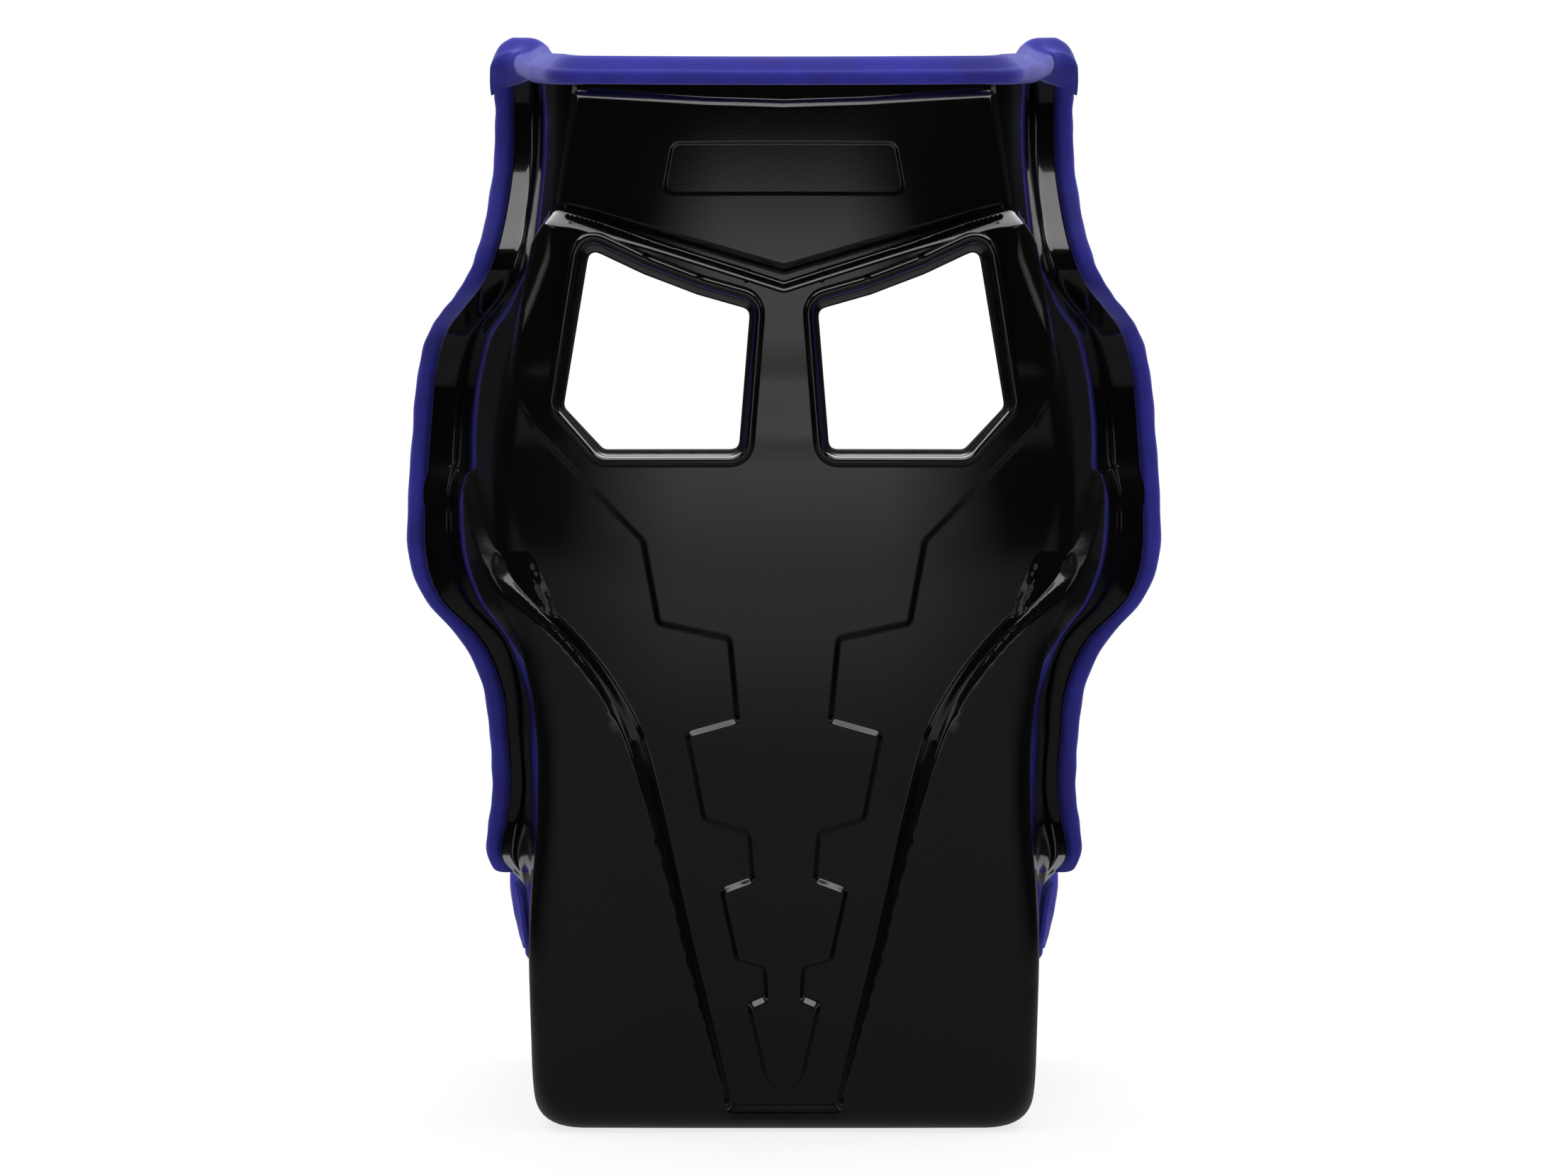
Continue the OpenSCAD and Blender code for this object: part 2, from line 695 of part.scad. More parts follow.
module tube(rings) {
    rows = len(rings);
    n = len(rings[0]);
    faces = [
        for (i = [0 : rows - 2], k = [0 : n - 1], half = [0, 1])
            let (a = i * n + k, b = i * n + (k + 1) % n)
            half == 0 ? [a, b, b + n] : [a, b + n, a + n]
    ];
    polyhedron([for (r = rings) each r], concat(faces,
        [[for (k = [n - 1 : -1 : 0]) k]],
        [[for (k = [0 : n - 1]) (rows - 1) * n + k]]));
}

module edge_roll_side(side) {
    color(blue)
    one_side(side)
    edge_roll(zone(0, s_wing_end), edge_r, lip_pad_t);
}

module belt_trim(side) {
    color(blue)
    one_side(side)
    edge_roll(zone(s_wing_end, s_thighs - 0.5), belt_trim_r, 6);
}

module thigh_roll(side) {
    color(blue)
    one_side(side)
    edge_roll(zone(s_thighs - 0.5, s_front), edge_r, lip_pad_t);
}

// Rings of a roll along the end row of the shell, from one side's rolls to the other's
function end_rings(s, us, r, out_sign, ahead_of) = [
    for (u = us)
        let (
            edge = place(s, u, wall / 2),
            out = unit(place(s, u, 0) - place(s, u, wall)) * out_sign,
            ahead = ahead_of == undef ? unit(place(s, u, 0) - place(s - 0.1, u, 0)) : ahead_of,
            beyond = abs(u) == 7 ? [sign(u) * 2 * edge_r, 0, 0] : [0, 0, 0],
            middle = edge + ahead * (r + fit_gap) + beyond
        )
        [for (k = [0 : roll_sides - 1])
            let (a = 360 * k / roll_sides)
            middle + out * r * cos(a) + ahead * r * sin(a)]
];

// The roll over the shell's top edge, from one head wing's tip to the other's
top_roll_r = 10.5;
module head_top_roll() {
    us = both_sides([0, 0.4, 0.7, 1, 1.25, 1.5, 1.75, 2, 3, 4, 5, 5.33, 5.67, 6, 7]);
    color(blue)
    tube(end_rings(0, us, top_roll_r, 1, [0, -sin(lean_high), cos(lean_high)]));
}

// The roll over the front lip
front_roll_r = 12;
module front_roll() {
    us = both_sides([0, 0.5, 1, 1.33, 1.67, 2, 3.5, 5, 5.5, 6, 7]);
    color(blue)
    tube(end_rings(station_last, us, front_roll_r, -1));
}

// ---- lift-out cushions ----------------------------------------------------------------------
strip_low = pad_back + liner_t + fit_gap;
cushion_low = strip_low + strip_t + fit_gap;
seat_rear_y = -172;
leg_front_y = pan_front - 16;

module side_profile(points, w) {
    translate([-w / 2, 0, 0])
    rotate([90, 0, 90])
    linear_extrude(w)
    polygon(points);
}

// A cushion between two places along the base, with the way of the crotch strap cut out
module base_cushion(back_y, front_y, thickness, rear) {
    ys = steps(front_y, back_y, 8);
    difference() {
        side_profile(concat(
            [for (y = ys) [y, above_base(y, cushion_low)]],
            rear,
            [for (i = [8 : -1 : 0]) [ys[i], above_base(ys[i], cushion_low + thickness)]]
        ), cushion_w);
        translate([-crotch_w / 2 - 3, crotch_y - crotch_l / 2, -1])
        cube([crotch_w + 6, crotch_l, 4 * seat_cushion_t]);
    }
}

module seat_cushion() {
    color(black)
    base_cushion(seat_rear_y, crotch_y - cushion_gap / 2, seat_cushion_t, [
        [seat_rear_y - 14, cushion_low + 12],
        [seat_rear_y - 17, cushion_low + seat_cushion_t / 2 + 6],
        [seat_rear_y - 12, cushion_low + seat_cushion_t - 2]
    ]);
}

module leg_cushion() {
    color(black)
    base_cushion(crotch_y + cushion_gap / 2, leg_front_y, leg_cushion_t, []);
}

// The station that starts at a height up the back
function s_of_back(z, low = 0, high = s_panel_end) = high - low < 0.01 ? low
    : let (mid = (low + high) / 2)
    station(mid)[0] < at_back(z) ? s_of_back(z, mid, high) : s_of_back(z, low, mid);

strip_back = pad_back + back_pad_t + fit_gap;
strip_half = 56;
lumbar_back = strip_back + strip_t + fit_gap + facet_gap;
lumbar_s = steps(s_of_back(lumbar_high_z), s_of_back(lumbar_low_z), 8);

// A place at a distance x from the middle and a depth d over the sunk part of the back
function back_spot(s, x, d) = let (
        st = station(s),
        start = outline(st[0]),
        dir = unit([st[1], st[2]] - start),
        slant = 1 / (dir * outline_normal(st[0])),
        t = (d + relief_at(st[0], start.y)) * slant + crown * pow(x / st[3], 2)
    )
    [x, start.x + dir.x * t, start.y + dir.y * t];

module lumbar_cushion() {
    xs = steps(-lumbar_half, lumbar_half, 8);
    color(black)
    between(
        [for (i = [0 : 8]) [for (x = xs) back_spot(lumbar_s[i], x, lumbar_back)]],
        [for (i = [0 : 8]) [for (x = xs) back_spot(lumbar_s[i], x,
            lumbar_back + ends(i / 8, lumbar_t, 10) * mix(1, 0.4, smooth(0.7, 1, abs(x) / lumbar_half)))]]
    );
}

module seat_grip_strips() {
    color(dark)
    for (y = [-120, -10])
        translate([-cushion_w / 3, y, strip_low])
        cube([2 * cushion_w / 3, strip_w, strip_t]);
}

module leg_grip_strips() {
    ys = steps(leg_front_y - 30, crotch_y + crotch_l, 8);
    color(dark)
    for (x = [-1, 1])
        translate([x * (cushion_w / 2 - 60), 0, 0])
        side_profile(concat(
            [for (y = ys) [y, above_base(y, strip_low)]],
            [for (i = [8 : -1 : 0]) [ys[i], above_base(ys[i], strip_low + strip_t)]]
        ), strip_w);
}

module lumbar_grip_strips() {
    xs = steps(-strip_half, strip_half, 4);
    color(dark)
    for (k = [2, 6]) {
        ends = [lumbar_s[k] - 0.3, lumbar_s[k] + 0.3];
        between(
            [for (s = ends) [for (x = xs) back_spot(s, x, strip_back)]],
            [for (s = ends) [for (x = xs) back_spot(s, x, strip_back + strip_t)]]
        );
    }
}

shell();
seat_liner();
hip_pad(-1);  // hip_pad_left
hip_pad(1);  // hip_pad_right
belt_trim(-1);  // belt_trim_left
belt_trim(1);  // belt_trim_right
head_top_roll();
head_pad();
head_wing_pad(-1);  // head_wing_pad_left
head_wing_pad(1);  // head_wing_pad_right
shoulder_bolster(-1);  // shoulder_bolster_left
shoulder_bolster(1);  // shoulder_bolster_right
rib_bolster(-1);  // rib_bolster_left
rib_bolster(1);  // rib_bolster_right
back_pad();
edge_roll_side(-1);  // edge_roll_left
edge_roll_side(1);  // edge_roll_right
thigh_bolster(-1);  // thigh_bolster_left
thigh_bolster(1);  // thigh_bolster_right
thigh_roll(-1);  // thigh_roll_left
thigh_roll(1);  // thigh_roll_right
front_roll();
seat_cushion();
leg_cushion();
lumbar_cushion();
seat_grip_strips();
leg_grip_strips();
lumbar_grip_strips();
harness_trim(-1);  // harness_trim_left
harness_trim(1);  // harness_trim_right
crotch_strap_guide();
side_mount_plate(-1);  // side_mount_plate_left
side_mount_plate(1);  // side_mount_plate_right
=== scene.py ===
"""A fixed-back racing seat: gloss shell, padded edge rolls, bolsters, cushions and side mounts."""

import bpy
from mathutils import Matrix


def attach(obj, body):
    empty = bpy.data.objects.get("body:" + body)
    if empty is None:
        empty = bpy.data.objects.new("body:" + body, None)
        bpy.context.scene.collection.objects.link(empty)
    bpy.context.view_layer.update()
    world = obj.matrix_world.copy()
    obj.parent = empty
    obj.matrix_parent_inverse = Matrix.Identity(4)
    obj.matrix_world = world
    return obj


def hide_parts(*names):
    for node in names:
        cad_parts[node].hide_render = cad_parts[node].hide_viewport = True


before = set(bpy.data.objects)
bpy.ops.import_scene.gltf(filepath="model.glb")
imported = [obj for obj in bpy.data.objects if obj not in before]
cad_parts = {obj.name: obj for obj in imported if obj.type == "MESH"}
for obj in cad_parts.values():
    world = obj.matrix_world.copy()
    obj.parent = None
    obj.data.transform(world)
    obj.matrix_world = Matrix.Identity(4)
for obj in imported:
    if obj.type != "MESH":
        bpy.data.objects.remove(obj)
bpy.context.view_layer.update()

import logging
import math
from collections.abc import Callable, Iterable, Sequence
from dataclasses import dataclass, field
from enum import Enum
from functools import cached_property

import bpy
import numpy as np
from bpy.types import Material, Mesh, Node, NodeSocket, NodeTree, Object
from mathutils import Vector
from mathutils.bvhtree import BVHTree
from mathutils.geometry import delaunay_2d_cdt

LOG = logging.getLogger("racing_seat")
MM = 0.001
Points = np.ndarray
Faces = list[tuple[int, ...]]
join = np.concatenate


class Side(Enum):
    """One side of the seat, as the occupant sees it."""

    LEFT = -1
    RIGHT = 1

    @property
    def word(self) -> str:
        """The side's word in the names of pieces."""
        return self.name.lower()


# ---- small maths
def mix(a: Points, b: Points, t: Points) -> Points:
    """The value a share t of the way from a to b."""
    return a + (b - a) * t


def smooth(low: float, high: float, x: Points) -> Points:
    """A soft step from 0 at low to 1 at high."""
    t = np.clip((np.asarray(x, float) - low) / (high - low), 0, 1)
    return t * t * (3 - 2 * t)


def ramp(t: Points, soft: float = 0.25) -> Points:
    """An even slope from 0 to 1 with rounded ends."""
    t = np.clip(t, 0, 1)
    k = 1 / (1 - soft)
    return np.where(t < soft, k * t * t / (2 * soft),
                    np.where(t > 1 - soft, 1 - k * (1 - t) ** 2 / (2 * soft), k * (t - soft / 2)))


def unit(v: Points) -> Points:
    """Vectors along the last axis, made one long."""
    return v / np.maximum(np.linalg.norm(v, axis=-1, keepdims=True), 1e-12)


def left_of(v: Points) -> Points:
    """Plane vectors turned a quarter to the left."""
    return np.stack([-v[..., 1], v[..., 0]], -1)


def dot(a: Points, b: Points) -> Points:
    """The dot product along the last axis, which stays as an axis of one."""
    return (a * b).sum(-1, keepdims=True)


def size_of(v: Points) -> Points:
    """The lengths of vectors along the last axis."""
    return np.linalg.norm(v, axis=-1)


def run_along(line: Points) -> Points:
    """The length run at each point of a line."""
    return join([[0], np.cumsum(size_of(np.diff(line, axis=0)))])


def turned_area(loop: Points) -> float:
    """Twice the area of a closed outline, above 0 where it runs anticlockwise."""
    after = np.roll(loop, -1, 0)
    return np.sum(loop[:, 0] * after[:, 1] - loop[:, 1] * after[:, 0])


def full_turn(parts: int) -> Points:
    """Even angles round a circle."""
    return np.linspace(0, 2 * np.pi, parts, endpoint=False)


def bend(a: Points, b: Points, c: Points, t: Points) -> Points:
    """A point of the curve from a to c that leans towards b."""
    return a * (1 - t) ** 2 + b * 2 * t * (1 - t) + c * t * t


def tan_half(a: Points, b: Points) -> Points:
    """The tangent of half the angle between two directions."""
    c = np.clip(dot(a, b), -0.99, 1)
    return np.sqrt((1 - c) / (1 + c))


def corner_point(p: Points, n1: Points, d1: Points, n2: Points, d2: Points) -> Points:
    """Where two lines through p meet once each is moved along its normal."""
    cross = n1[..., :1] * n2[..., 1:] - n1[..., 1:] * n2[..., :1]
    moved = join([d1 * n2[..., 1:] - d2 * n1[..., 1:], d2 * n1[..., :1] - d1 * n2[..., :1]], -1)
    return p + moved / cross


def spread(length: float, step: float, edge: float) -> Points:
    """Shares from 0 to 1 along a length, closer together within its rounded ends.

    Args:
        length: The whole length.
        step: The spacing away from the ends.
        edge: The ends' radius.

    Returns:
        The shares, in order.
    """
    near = edge * (1 - np.cos(np.linspace(0, np.pi / 2, 6)))
    inner = np.linspace(edge, length - edge, max(2, round((length - 2 * edge) / step) + 1))
    return join([near[:-1], inner, (length - near[:-1])[::-1]]) / length


def round_corners(points: Points, radius: float, parts: int = 5) -> Points:
    """A closed outline with its corners rounded.

    Args:
        points: The outline's corners.
        radius: Their radius.
        parts: Points in each.

    Returns:
        The outline.
    """
    before, after = np.roll(points, 1, 0), np.roll(points, -1, 0)
    into, out = unit(points - before), unit(after - points)
    room = 0.45 * np.minimum(size_of(points - before), size_of(after - points))
    cut = np.minimum(radius * tan_half(into, out)[:, 0], room)[:, None]
    shares = np.linspace(0, 1, parts)
    return join([bend(p - a * c, p, p + b * c, shares[:, None])
                           for p, a, b, c in zip(points, into, out, cut)])


def subdivide(points: Points, longest: float, closed: bool = False) -> Points:
    """A line with points added so that no stretch is longer than given.

    Args:
        points: The line.
        longest: The longest stretch.
        closed: Whether it is a loop.

    Returns:
        The line's points.
    """
    ends = np.roll(points, -1, 0) if closed else points[1:]
    made = []
    for a, b in zip(points, ends):
        n = max(1, math.ceil(np.linalg.norm(b - a) / longest))
        made += [a + (b - a) * k / n for k in range(n)]
    if not closed:
        made.append(points[-1])
    kept = np.array(made)
    gap = size_of(kept - np.roll(kept, 1, 0))
    return kept[(gap > 1e-6) | (np.arange(len(kept)) == 0) * (not closed)]


def line_normals(points: Points, closed: bool = False) -> Points:
    """The unit normals on the right of a plane line, or of a loop where it is closed."""
    along = np.roll(points, -1, 0) - np.roll(points, 1, 0) if closed else np.gradient(points, axis=0)
    return -left_of(unit(along))


def inside(polygon: Points, x: Points, y: Points) -> Points:
    """Whether each place lies inside a closed outline.

    Args:
        polygon: The outline.
        x: The places across.
        y: The places up.

    Returns:
        True for each place inside.
    """
    found = np.zeros(np.shape(x), bool)
    for (x1, y1), (x2, y2) in zip(polygon, np.roll(polygon, -1, 0)):
        if y1 != y2:
            found ^= ((y1 > y) != (y2 > y)) & (x < (x2 - x1) * (y - y1) / (y2 - y1) + x1)
    return found


def distance(polygon: Points, x: Points, y: Points) -> Points:
    """The distance of each place to a closed outline, below 0 inside it.

    Args:
        polygon: The outline.
        x: The places across.
        y: The places up.

    Returns:
        The distances.
    """
    best = np.full(np.shape(x), 1e18)
    for a, b in zip(polygon, np.roll(polygon, -1, 0)):
        run = b - a
        size = max(float(run @ run), 1e-12)
        t = np.clip(((x - a[0]) * run[0] + (y - a[1]) * run[1]) / size, 0, 1)
        best = np.minimum(best, (x - a[0] - t * run[0]) ** 2 + (y - a[1] - t * run[1]) ** 2)
    return np.where(inside(polygon, x, y), -1, 1) * np.sqrt(best)


# ---- the seat's form
@dataclass(frozen=True)
class SeatForm:
    """The main surfaces of the seat, in millimetres.

    A place on the seat is a station s along the shell from its top edge, u from the middle out to
    the lip's edge, and a depth d from the shell's outside towards the occupant.
    """

    wall: float = 4.0
    pan_half: float = 202.5
    corner_r: float = 30.0
    pan_corner_r: float = 46.0
    lip_r: float = 9.0
    crown: float = 10.0
    base_rear: float = 186.0
    heel_r: float = 42.0
    lean_low: float = 9.0
    lean_high: float = 17.0
    lean_z: float = 300.0
    lean_soft: float = 60.0
    top_z: float = 810.0
    base_front: float = 85.0
    pan_front: float = 290.0
    lip_z: float = 88.0
    rise_power: float = 1.5
    relief_low: float = 8.0
    relief_high: float = 16.0
    relief_half: float = 44.0
    relief_step: float = 14.0
    fit_gap: float = 0.3
    bolt_spacing: float = 290.0
    bolt_z: float = 82.0
    boss_r: float = 9.0

    @property
    def pad_back(self) -> float:
        """Depth at which the padding starts."""
        return self.wall + self.fit_gap

    @property
    def heel_length(self) -> float:
        """Length of the heel's arc."""
        return self.heel_r * math.radians(90 - self.lean_low)

    @property
    def heel_top_y(self) -> float:
        """Where the back leaves the heel's arc, along Y."""
        return -self.base_rear - self.heel_r * math.cos(math.radians(self.lean_low))

    @property
    def heel_top_z(self) -> float:
        """Where the back leaves the heel's arc, along Z."""
        return self.heel_r * (1 - math.sin(math.radians(self.lean_low)))

    def soft_step(self, x: Points) -> Points:
        """The soft start of the upper back's lean."""
        return self.lean_soft * np.log1p(np.exp(np.minimum(x / self.lean_soft, 30)))

    def relief_depth(self, z: Points) -> Points:
        """Depth of the sunk centre panel at a height."""
        share = np.clip(z / self.lean_z, 0, 1)
        return mix(self.relief_low, self.relief_high, share) * (1 - smooth(390, 500, z))

    def relief_edge(self, z: Points) -> Points:
        """Half width of the sunk centre panel at a height."""
        return self.relief_half + 0.225 * (z - 26) + 0.0037 * np.maximum(z - 306, 0) ** 2

    def relief_at(self, v: Points, z: Points) -> Points:
        """Depth of the sunk centre panel, which ends at the heel."""
        return np.where(v < self.heel_length, self.relief_depth(z) * smooth(12, 22, z), 0)

    def back_y(self, z: Points) -> Points:
        """The line of the back at a height, along Y.

        Args:
            z: The height.

        Returns:
            The place along Y.
        """
        low, high = (math.tan(math.radians(lean)) for lean in (self.lean_low, self.lean_high))
        heel = self.heel_top_z
        return (self.heel_top_y - low * (z - heel)
                - (high - low) * (self.soft_step(z - self.lean_z) - self.soft_step(heel - self.lean_z))
                - self.relief_depth(z) + self.relief_depth(heel))

    def rise_share(self, y: Points) -> Points:
        """How far along the base's rise a place lies."""
        return np.maximum(y - self.base_front, 0) / (self.pan_front - self.base_front)

    def base_z(self, y: Points) -> Points:
        """The height of the base's underside."""
        return self.lip_z * self.rise_share(y) ** self.rise_power

    def above_base(self, y: Points, d: float) -> Points:
        """The height of a surface that lies a depth d over the base."""
        steepest = self.rise_power * self.lip_z / (self.pan_front - self.base_front)
        slope = steepest * self.rise_share(y) ** (self.rise_power - 1)
        return self.base_z(y) + d * np.sqrt(1 + slope ** 2)

    def at_back(self, z: float) -> float:
        """The length along the side view line at a height of the back."""
        return self.heel_top_z - z

    def at_heel(self, angle: float) -> float:
        """The length along the side view line at an angle of the heel."""
        return self.heel_r * math.radians(angle - self.lean_low)

    def at_base(self, y: float) -> float:
        """The length along the side view line at a place of the base."""
        return self.heel_length + y + self.base_rear

    def outline(self, v: Points) -> Points:
        """The side view line at a length along it, as (y, z).

        Args:
            v: The lengths.

        Returns:
            The points.
        """
        v = np.asarray(v, float)
        z_back = self.heel_top_z - v
        angle = math.radians(self.lean_low) + v / self.heel_r
        y_base = v - self.heel_length - self.base_rear
        parts = (v < 0, v < self.heel_length)
        y = np.select(parts, (self.back_y(z_back), -self.base_rear - self.heel_r * np.cos(angle)), y_base)
        z = np.select(parts, (z_back, self.heel_r * (1 - np.sin(angle))), self.base_z(y_base))
        return np.stack([y, z], -1)

    def zone_rows(self, z: float, edge: float, panel: float, half: float,
                  rows: Iterable[Sequence[float]]) -> list[list[float]]:
        """The stations of one zone up the back, from what each adds to the zone's sizes."""
        return [[self.at_back(z + up), y - edge, z + lip, panel + a, half + b, half + c, wide, 0.5]
                for up, y, lip, a, b, c, wide in rows]

    @cached_property
    def stations(self) -> Points:
        """The rows of the stations: start, lip edge (y, z), three half widths, lip width, wall's middle.

        Returns:
            A row for each station, from the head to the front lip.
        """
        pan, thigh, thigh_z, belt_z, front_y = self.pan_half, 234.0, 226.0, 125.0, self.pan_front
        head = self.zone_rows(self.top_z, 229, 168, 217, [
            (0, -33, 35, -1, -30, -20, 18), (-14, -13, 23, 0, -30, -20, 20), (-32, 0, 0, 0, -30, -20, 20),
            (-60, 0, -38, 1, -29, -19, 20), (-92, -14, -80, 4, -26, -15, 21),
            (-120, -27, -113, 8, -22, -10, 23)])
        shoulder = self.zone_rows(600, 112, 222, 298.5, [
            (68, -132, 75, -39, -92, -82, 25), (48, -93, 60, -30, -80, -66, 26),
            (28, -48, 44, -21, -66, -48, 26), (0, -18, 14, -11, -56, -36, 26),
            (-38, -5, -28, -4, -50, -30, 25), (-85, 0, -79, 0, -48, -27, 26),
            (-134, 2, -132, -1, -47, -26, 27), (-174, 6, -173, -10, -57, -36, 25)])
        rib = self.zone_rows(262, 50, 191, 236, [
            (128, -48, 128, 11, -14, -5, 22), (88, -36, 88, 4, -27, -15, 16), (46, -20, 48, 0, -30, -16, 14),
            (0, 0, 10, 1, -30, -17, 14), (-40, 16, -22, 4, -28, -13, 14), (-86, 12, -54, 8, -27, -9, 14)])
        belt = [
            [self.at_back(belt_z + 3), -62, belt_z + 61, pan, pan + 5, pan + 8, 8, 0.5],
            [self.at_back(belt_z - 49), -76, belt_z + 35, pan, pan + 3, pan + 4, 6, 0.5],
            [self.at_heel(42), -68, belt_z + 13, pan, pan, pan + 1, 6, 0.5],
            [self.at_base(-self.base_rear + 12), -44, belt_z + 1, pan, pan, pan + 1, 6, 0.5],
            [self.at_base(-110), -8, belt_z - 1, pan, pan, pan + 1, 6, 0.5],
            [self.at_base(-50), 30, belt_z + 9, pan, pan, pan + 4, 9, 0.66]]
        front = [
            [self.at_base(0), 68, belt_z + 35, pan, pan, thigh - 20, 12, 0.68],
            [self.at_base(52), 108, thigh_z - 26, pan, pan, thigh - 16, 13, 0.62],
            [self.at_base(102), 148, thigh_z - 3, pan, pan, thigh - 14, 14, 0.58],
            [self.at_base(150), 186, thigh_z, pan, pan, thigh - 14, 14, 0.52],
            [self.at_base(196), 222, thigh_z - 14, pan, pan + 4, thigh - 14, 14, 0.5],
            [self.at_base(236), 252, thigh_z - 45, pan - 1, pan + 8, thigh - 15, 13, 0.5],
            [self.at_base(266), 274, thigh_z - 80, pan - 3, pan + 8, thigh - 17, 12, 0.5],
            [self.at_base(front_y), front_y + 4, self.lip_z + 20, pan - 8, pan, thigh - 22, 10, 0.5]]
        return np.array(head + shoulder + rib + belt + front)

    @property
    def last(self) -> int:
        """The last station."""
        return len(self.stations) - 1

    def station(self, s: Points) -> Points:
        """The station's values at s, between the rows on a smooth curve.

        Args:
            s: The stations, whole or between two rows.

        Returns:
            Their values along the last axis.
        """
        s = np.asarray(s, float)
        i = np.minimum(np.floor(s).astype(int), self.last - 1)
        t = (s - i)[..., None]
        a, b, c, d = (self.stations[np.clip(i + k, 0, self.last)] for k in (-1, 0, 1, 2))
        return 0.5 * (b * 2 + (c - a) * t + (a * 2 - b * 5 + c * 4 - d) * t ** 2
                      + (b * 3 - a - c * 3 + d) * t ** 3)

    @cached_property
    def start_table(self) -> tuple[Points, Points]:
        """Stations and their starts along the side view line, to look one up from the other."""
        s = np.linspace(0, self.last, 1500)
        return s, np.maximum.accumulate(self.station(s)[:, 0])

    def s_at(self, v: Points) -> Points:
        """The station that starts at a length along the side view line."""
        s, v_table = self.start_table
        return np.interp(v, v_table, s)

    def section(self, st: Points, u: Points, d: Points, sunk: bool = True) -> tuple[Points, Points]:
        """The section's point at u and depth d, and the direction from the start to the lip's edge.

        Args:
            st: The stations' values.
            u: The places across the section, from the middle outwards.
            d: The depths.
            sunk: Whether the centre panel is sunk below the hips.

        Returns:
            The points as (x, y, z), with x on the right side.
        """
        d = np.asarray(d, float)[..., None] + np.zeros(st.shape[:-1] + (1,))
        w = np.abs(np.asarray(u, float))[..., None] + np.zeros_like(d)
        col = [st[..., k:k + 1] for k in range(8)]
        start = self.outline(st[..., 0])
        reach = st[..., 1:3] - start
        deep = np.linalg.norm(reach, axis=-1, keepdims=True)
        across = left_of(unit(self.outline(st[..., 0] + 1) - self.outline(st[..., 0] - 1)))
        slant = 1 / np.maximum(dot(unit(reach), across), 0.55)
        bow = self.crown * smooth(self.at_base(-self.base_rear + 30), self.at_back(200), col[0])
        b = join([col[3], bow], -1)
        c = join([col[5], deep - 3], -1)
        m = join([col[4], np.maximum(deep * col[7], bow + 2)], -1)
        e1 = unit(join([np.ones_like(bow), 2 * bow / col[3]], -1))
        e2, e3 = unit(m - b), unit(c - m)
        e4 = unit(join([col[6], 3 + np.zeros_like(bow)], -1))
        n1, n2, n3, n4 = left_of(e1), left_of(e2), left_of(e3), left_of(e4)
        bo = corner_point(b, n1, d * slant * n1[..., 1:], n2, d)
        mo = m + (n2 + n3) / (1 + dot(n2, n3)) * d
        co = corner_point(c, n3, d, n4, d)
        end = join([col[5] + col[6], deep], -1) + n4 * d

        def gap(p: Points, q: Points) -> Points:
            """The distance between two points."""
            return np.linalg.norm(p - q, axis=-1, keepdims=True)

        round_b = mix(self.pan_corner_r, self.corner_r, smooth(self.at_back(60), self.at_back(260), col[0]))
        cut_b = np.minimum(np.maximum(round_b - d, 8) * tan_half(e1, e2), 0.45 * gap(mo, bo))
        cut_m = 0.3 * np.minimum(gap(mo, bo), gap(co, mo))
        cut_c = np.minimum((self.lip_r + d) * tan_half(e3, e4), 0.45 * gap(co, mo))
        cut_c = np.minimum(cut_c, 0.9 * gap(end, co))
        x_end = bo[..., :1] - e1[..., :1] * cut_b
        if sunk:
            edge = np.minimum(self.relief_edge(start[..., 1:]), x_end - self.relief_step - 2)
            x = np.where(w < 0.5, edge * w / 0.5, np.where(
                w < 0.7, edge + self.relief_step * (w - 0.5) / 0.2,
                mix(edge + self.relief_step, x_end, (w - 0.7) / 0.3)))
            sink = self.relief_at(col[0], start[..., 1:]) * slant * (1 - smooth(0.5, 0.7, w))
        else:
            x, sink = w * x_end, 0.0
        flat = join([x, d * slant + bow * (x / col[3]) ** 2 + sink], -1)
        p = np.select([w <= 1, w <= 2, w <= 3, w <= 4, w <= 5, w <= 6], [
            flat, bend(bo - e1 * cut_b, bo, bo + e2 * cut_b, w - 1),
            mix(bo + e2 * cut_b, mo - e2 * cut_m, w - 2), bend(mo - e2 * cut_m, mo, mo + e3 * cut_m, w - 3),
            mix(mo + e3 * cut_m, co - e3 * cut_c, w - 4), bend(co - e3 * cut_c, co, co + e4 * cut_c, w - 5)],
            mix(co + e4 * cut_c, end, w - 6))
        way = unit(reach)
        return join([p[..., :1], start + way * p[..., 1:]], -1)

    def place(self, s: Points, u: Points, d: Points) -> Points:
        """The places at stations s, u and depths d, on the side that the sign of u gives."""
        s, u = np.broadcast_arrays(np.asarray(s, float), np.asarray(u, float))
        p = self.section(self.station(s), u, np.broadcast_to(d, s.shape))
        p[..., 0] *= np.sign(u)
        return p


FORM = SeatForm()


